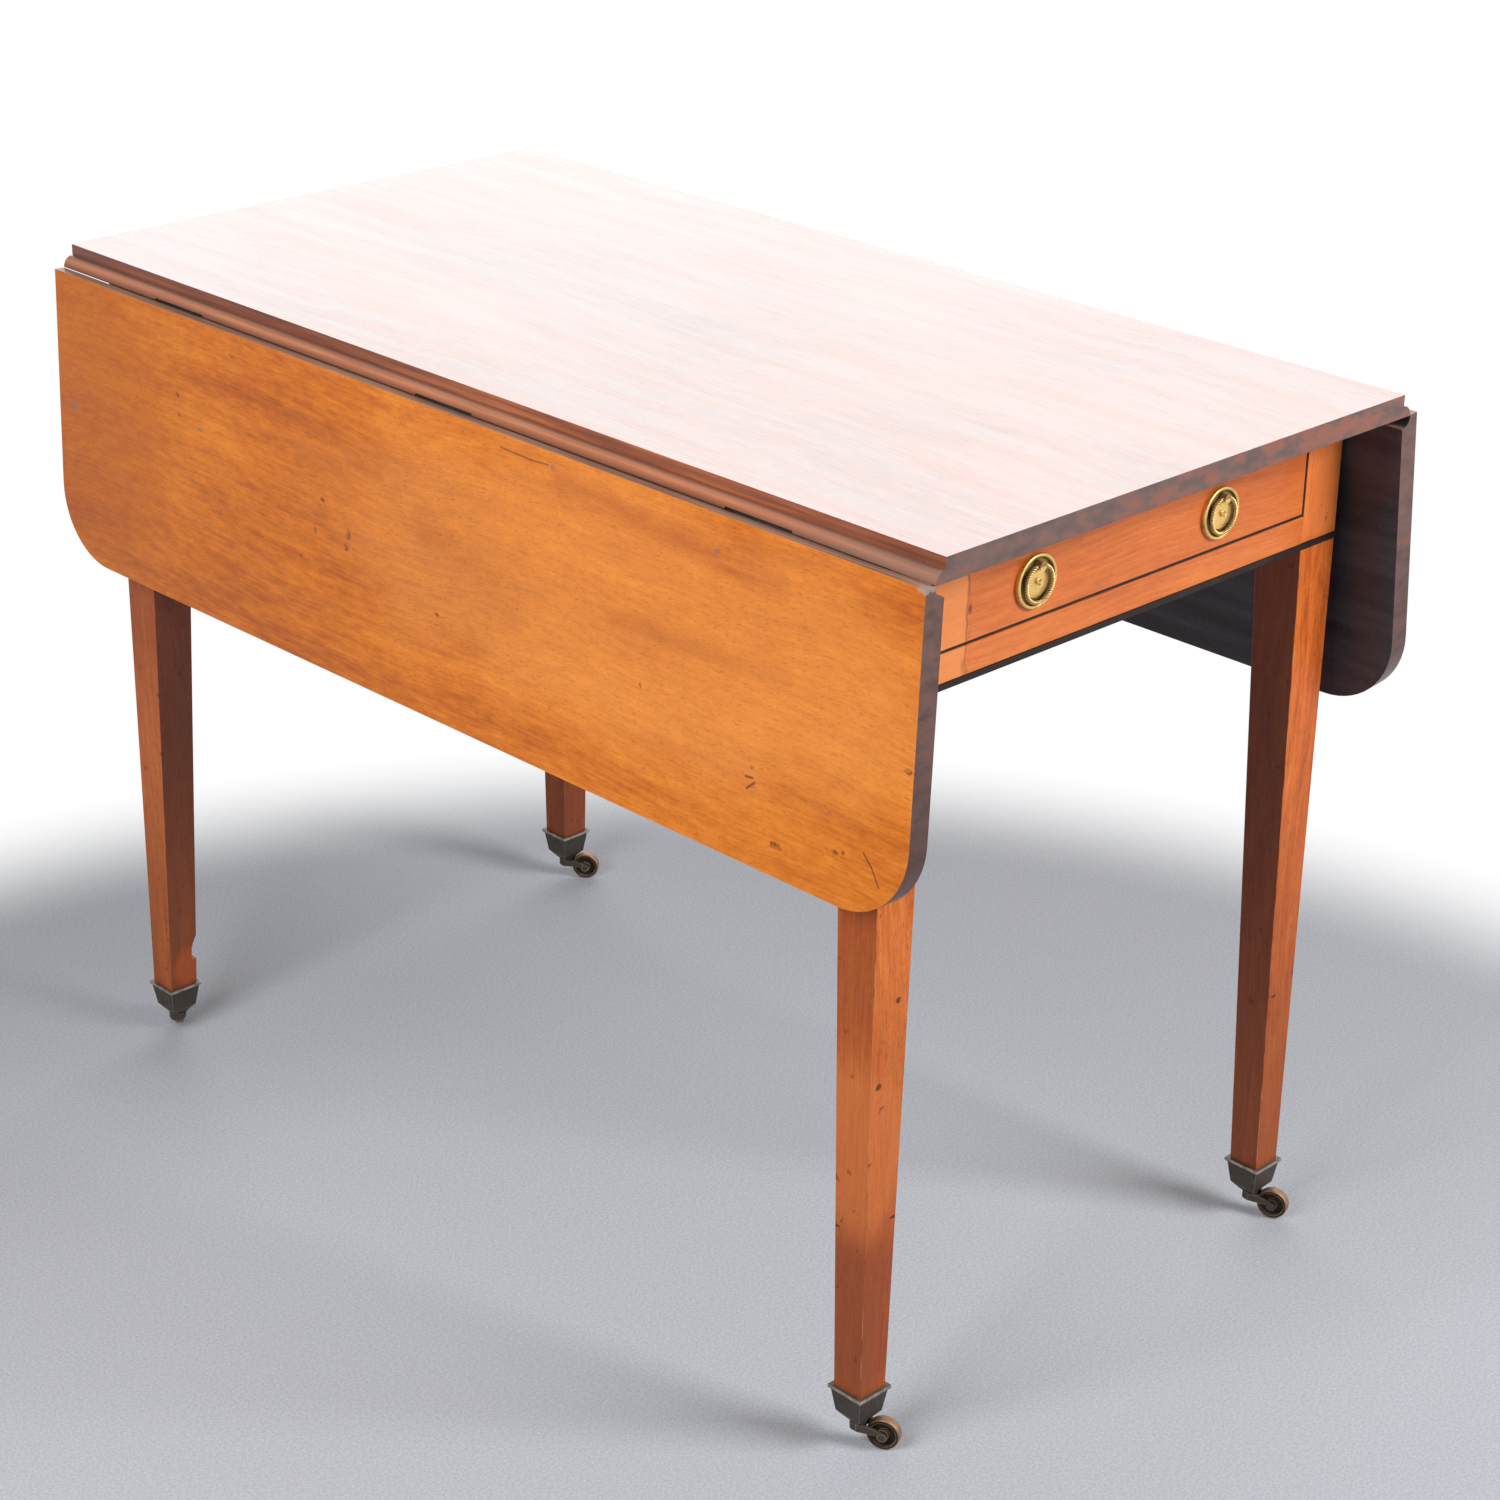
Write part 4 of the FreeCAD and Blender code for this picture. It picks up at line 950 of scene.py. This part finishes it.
# Corners of the piece broken off the inner edge of the back left leg, above its foot
CHIP_POINTS = [
    (-0.2276, 0.4110, 0.0752),
    (-0.2268, 0.4110, 0.0880),
    (-0.2220, 0.4110, 0.0985),
    (-0.2140, 0.4110, 0.0990),
    (-0.2140, 0.4110, 0.0742),
    (-0.2226, 0.4235, 0.0760),
    (-0.2230, 0.4215, 0.0870),
    (-0.2190, 0.4175, 0.0970),
    (-0.2140, 0.4245, 0.0748),
    (-0.2140, 0.4190, 0.0980),
]


def chip():
    """Hidden solid that a chip is cut with."""
    form = bmesh.new()
    for point in CHIP_POINTS:
        form.verts.new(point)
    bmesh.ops.convex_hull(form, input=form.verts)
    mesh = bpy.data.meshes.new("chip_cutter")
    form.to_mesh(mesh)
    form.free()
    cutter = bpy.data.objects.new("chip_cutter", mesh)
    cutter.hide_render = True
    bpy.context.scene.collection.objects.link(cutter)
    return cutter


# Ring pulls: a rope-twisted ring in place of each plain one
ROPE_STRANDS = 3
ROPE_TURNS = 15
ROPE_DEPTH_SHARE = 0.6
ROPE_GROOVE_POWER = 1.5
ROPE_STEPS = 540
ROPE_SIDES = 24


def rope_points(centre, radius, wire):
    """Points of a twisted ring in the XZ plane, one round of the wire after another."""
    points = []
    for step in range(ROPE_STEPS):
        turn = 2 * math.pi * step / ROPE_STEPS
        outward = Vector((math.sin(turn), 0, math.cos(turn)))
        middle = centre + outward * radius
        for side in range(ROPE_SIDES):
            angle = 2 * math.pi * side / ROPE_SIDES
            lobe = abs(math.cos(ROPE_STRANDS * (angle + ROPE_TURNS * turn) / 2))
            reach = wire * (1 - ROPE_DEPTH_SHARE * (1 - lobe) ** ROPE_GROOVE_POWER)
            points.append(middle + (outward * math.cos(angle) + Vector((0, 1, 0)) * math.sin(angle)) * reach)
    return points


def rope_faces():
    """Four-sided faces between each round of the wire and the next."""
    faces = []
    for step in range(ROPE_STEPS):
        following = (step + 1) % ROPE_STEPS
        for side in range(ROPE_SIDES):
            beside = (side + 1) % ROPE_SIDES
            faces.append((
                step * ROPE_SIDES + side, step * ROPE_SIDES + beside,
                following * ROPE_SIDES + beside, following * ROPE_SIDES + side,
            ))
    return faces


def rope_ring(node, body, finish):
    """A ring of twisted strands that fills the round wire of the CAD ring."""
    low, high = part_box(node)
    wire = (high.y - low.y) / 2
    radius = (high.z - low.z) / 2 - wire
    mesh = bpy.data.meshes.new(node + "_rope")
    mesh.from_pydata(rope_points((low + high) / 2, radius, wire), [], rope_faces())
    mesh.shade_smooth()
    mesh.materials.append(finish)
    ring = bpy.data.objects.new(node + "_rope", mesh)
    bpy.context.scene.collection.objects.link(ring)
    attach(ring, body)
    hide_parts(node)


# Studio
FLOOR_DARK = tone(182, 186, 194)
FLOOR_LIGHT = tone(203, 207, 214)


def soft_box(name, place, width, height, brightness):
    light = bpy.data.lights.new(name, "AREA")
    light.shape = "RECTANGLE"
    light.size = width
    light.size_y = height
    light.energy = brightness * width * height * math.pi
    lamp = bpy.data.objects.new(name, light)
    lamp.location = place
    lamp.rotation_euler = (Vector(LIGHT_AIM) - Vector(place)).to_track_quat("-Z", "Y").to_euler()
    lamp.visible_camera = False
    bpy.context.scene.collection.objects.link(lamp)


def seen_directly(tree):
    """1 for rays from the camera and for mirrored or refracted ones, 0 for light on the object."""
    path = tree.nodes.new("ShaderNodeLightPath")
    total = path.outputs["Is Camera Ray"]
    for name in ("Is Glossy Ray", "Is Transmission Ray"):
        both = tree.nodes.new("ShaderNodeMath")
        both.operation = "MAXIMUM"
        tree.links.new(total, both.inputs[0])
        tree.links.new(path.outputs[name], both.inputs[1])
        total = both.outputs[0]
    return total


def sky():
    world = bpy.data.worlds.new("studio")
    world.use_nodes = True
    tree = world.node_tree
    level = tree.nodes.new("ShaderNodeMapRange")
    level.inputs["To Min"].default_value = SKY_FILL
    tree.links.new(seen_directly(tree), level.inputs["Value"])
    background = tree.nodes["Background"]
    background.inputs["Color"].default_value = (1, 1, 1, 1)
    tree.links.new(level.outputs[0], background.inputs["Strength"])
    bpy.context.scene.world = world


def floor():
    bpy.ops.mesh.primitive_circle_add(vertices=FLOOR_SIDES, radius=FLOOR_RADIUS, fill_type="NGON")
    ground = bpy.context.object
    ground.name = "studio_floor"
    surface = Surface("studio_floor")
    speckle = surface.noise(surface.place, scale=420.0, detail=3.0, roughness=0.7)
    shade = surface.mix(surface.span(speckle, 0.3, 0.7), FLOOR_DARK, FLOOR_LIGHT)
    surface.set(Base_Color=shade, Roughness=0.9)
    white = surface.node("Emission")
    reach = surface.vector("LENGTH", surface.vector("SUBTRACT", surface.place, FLOOR_CENTRE))
    far = surface.span(reach, FLOOR_GREY_RADIUS, FLOOR_WHITE_RADIUS)
    join = surface.node("MixShader")
    surface.feed(join.inputs[0], surface.times(far, seen_directly(surface.tree)))
    surface.feed(join.inputs[1], surface.shader.outputs[0])
    surface.feed(join.inputs[2], white.outputs[0])
    surface.feed(surface.tree.nodes["Material Output"].inputs["Surface"], join.outputs[0])
    ground.data.materials.append(surface.material)


def camera():
    azimuth, elevation, roll = (
        math.radians(angle) for angle in (CAMERA_AZIMUTH, CAMERA_ELEVATION, CAMERA_ROLL)
    )
    back = Vector((
        math.sin(azimuth) * math.cos(elevation), -math.cos(azimuth) * math.cos(elevation), math.sin(elevation)
    ))
    level = Vector((math.cos(azimuth), math.sin(azimuth), 0))
    upright = back.cross(level)
    right = level * math.cos(roll) + upright * math.sin(roll)
    up = upright * math.cos(roll) - level * math.sin(roll)
    lens = bpy.data.cameras.new("camera")
    lens.sensor_width = CAMERA_SENSOR_MM
    lens.lens = CAMERA_LENS_MM
    viewer = bpy.data.objects.new("camera", lens)
    turned = Matrix((right, up, back)).transposed()
    viewer.matrix_world = Matrix.Translation(CAMERA_PLACE) @ turned.to_4x4()
    bpy.context.scene.collection.objects.link(viewer)
    bpy.context.scene.camera = viewer


finishes = dress()
soften(["top_board", "leaf_left", "leaf_right"], BOARD_BEVEL)
soften(named("leg_"), LEG_BEVEL, {"leg_back_left": chip()})
soften(["drawer_front", "lower_drawer_rail", "upper_drawer_rail", "back_rail"], RAIL_BEVEL)
soften(["caster_caps", *named("caster_horn_")], METAL_BEVEL)
for ring_name in named("pull_ring_"):
    rope_ring(ring_name, nodes[ring_name]["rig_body"], finishes["pull_brass"])

soft_box("front_box", *FRONT_BOX)
soft_box("left_box", *LEFT_BOX)
soft_box("back_box", *BACK_BOX)
soft_box("high_box", *HIGH_BOX)
sky()
floor()
camera()
bpy.context.scene.view_settings.view_transform = "Standard"
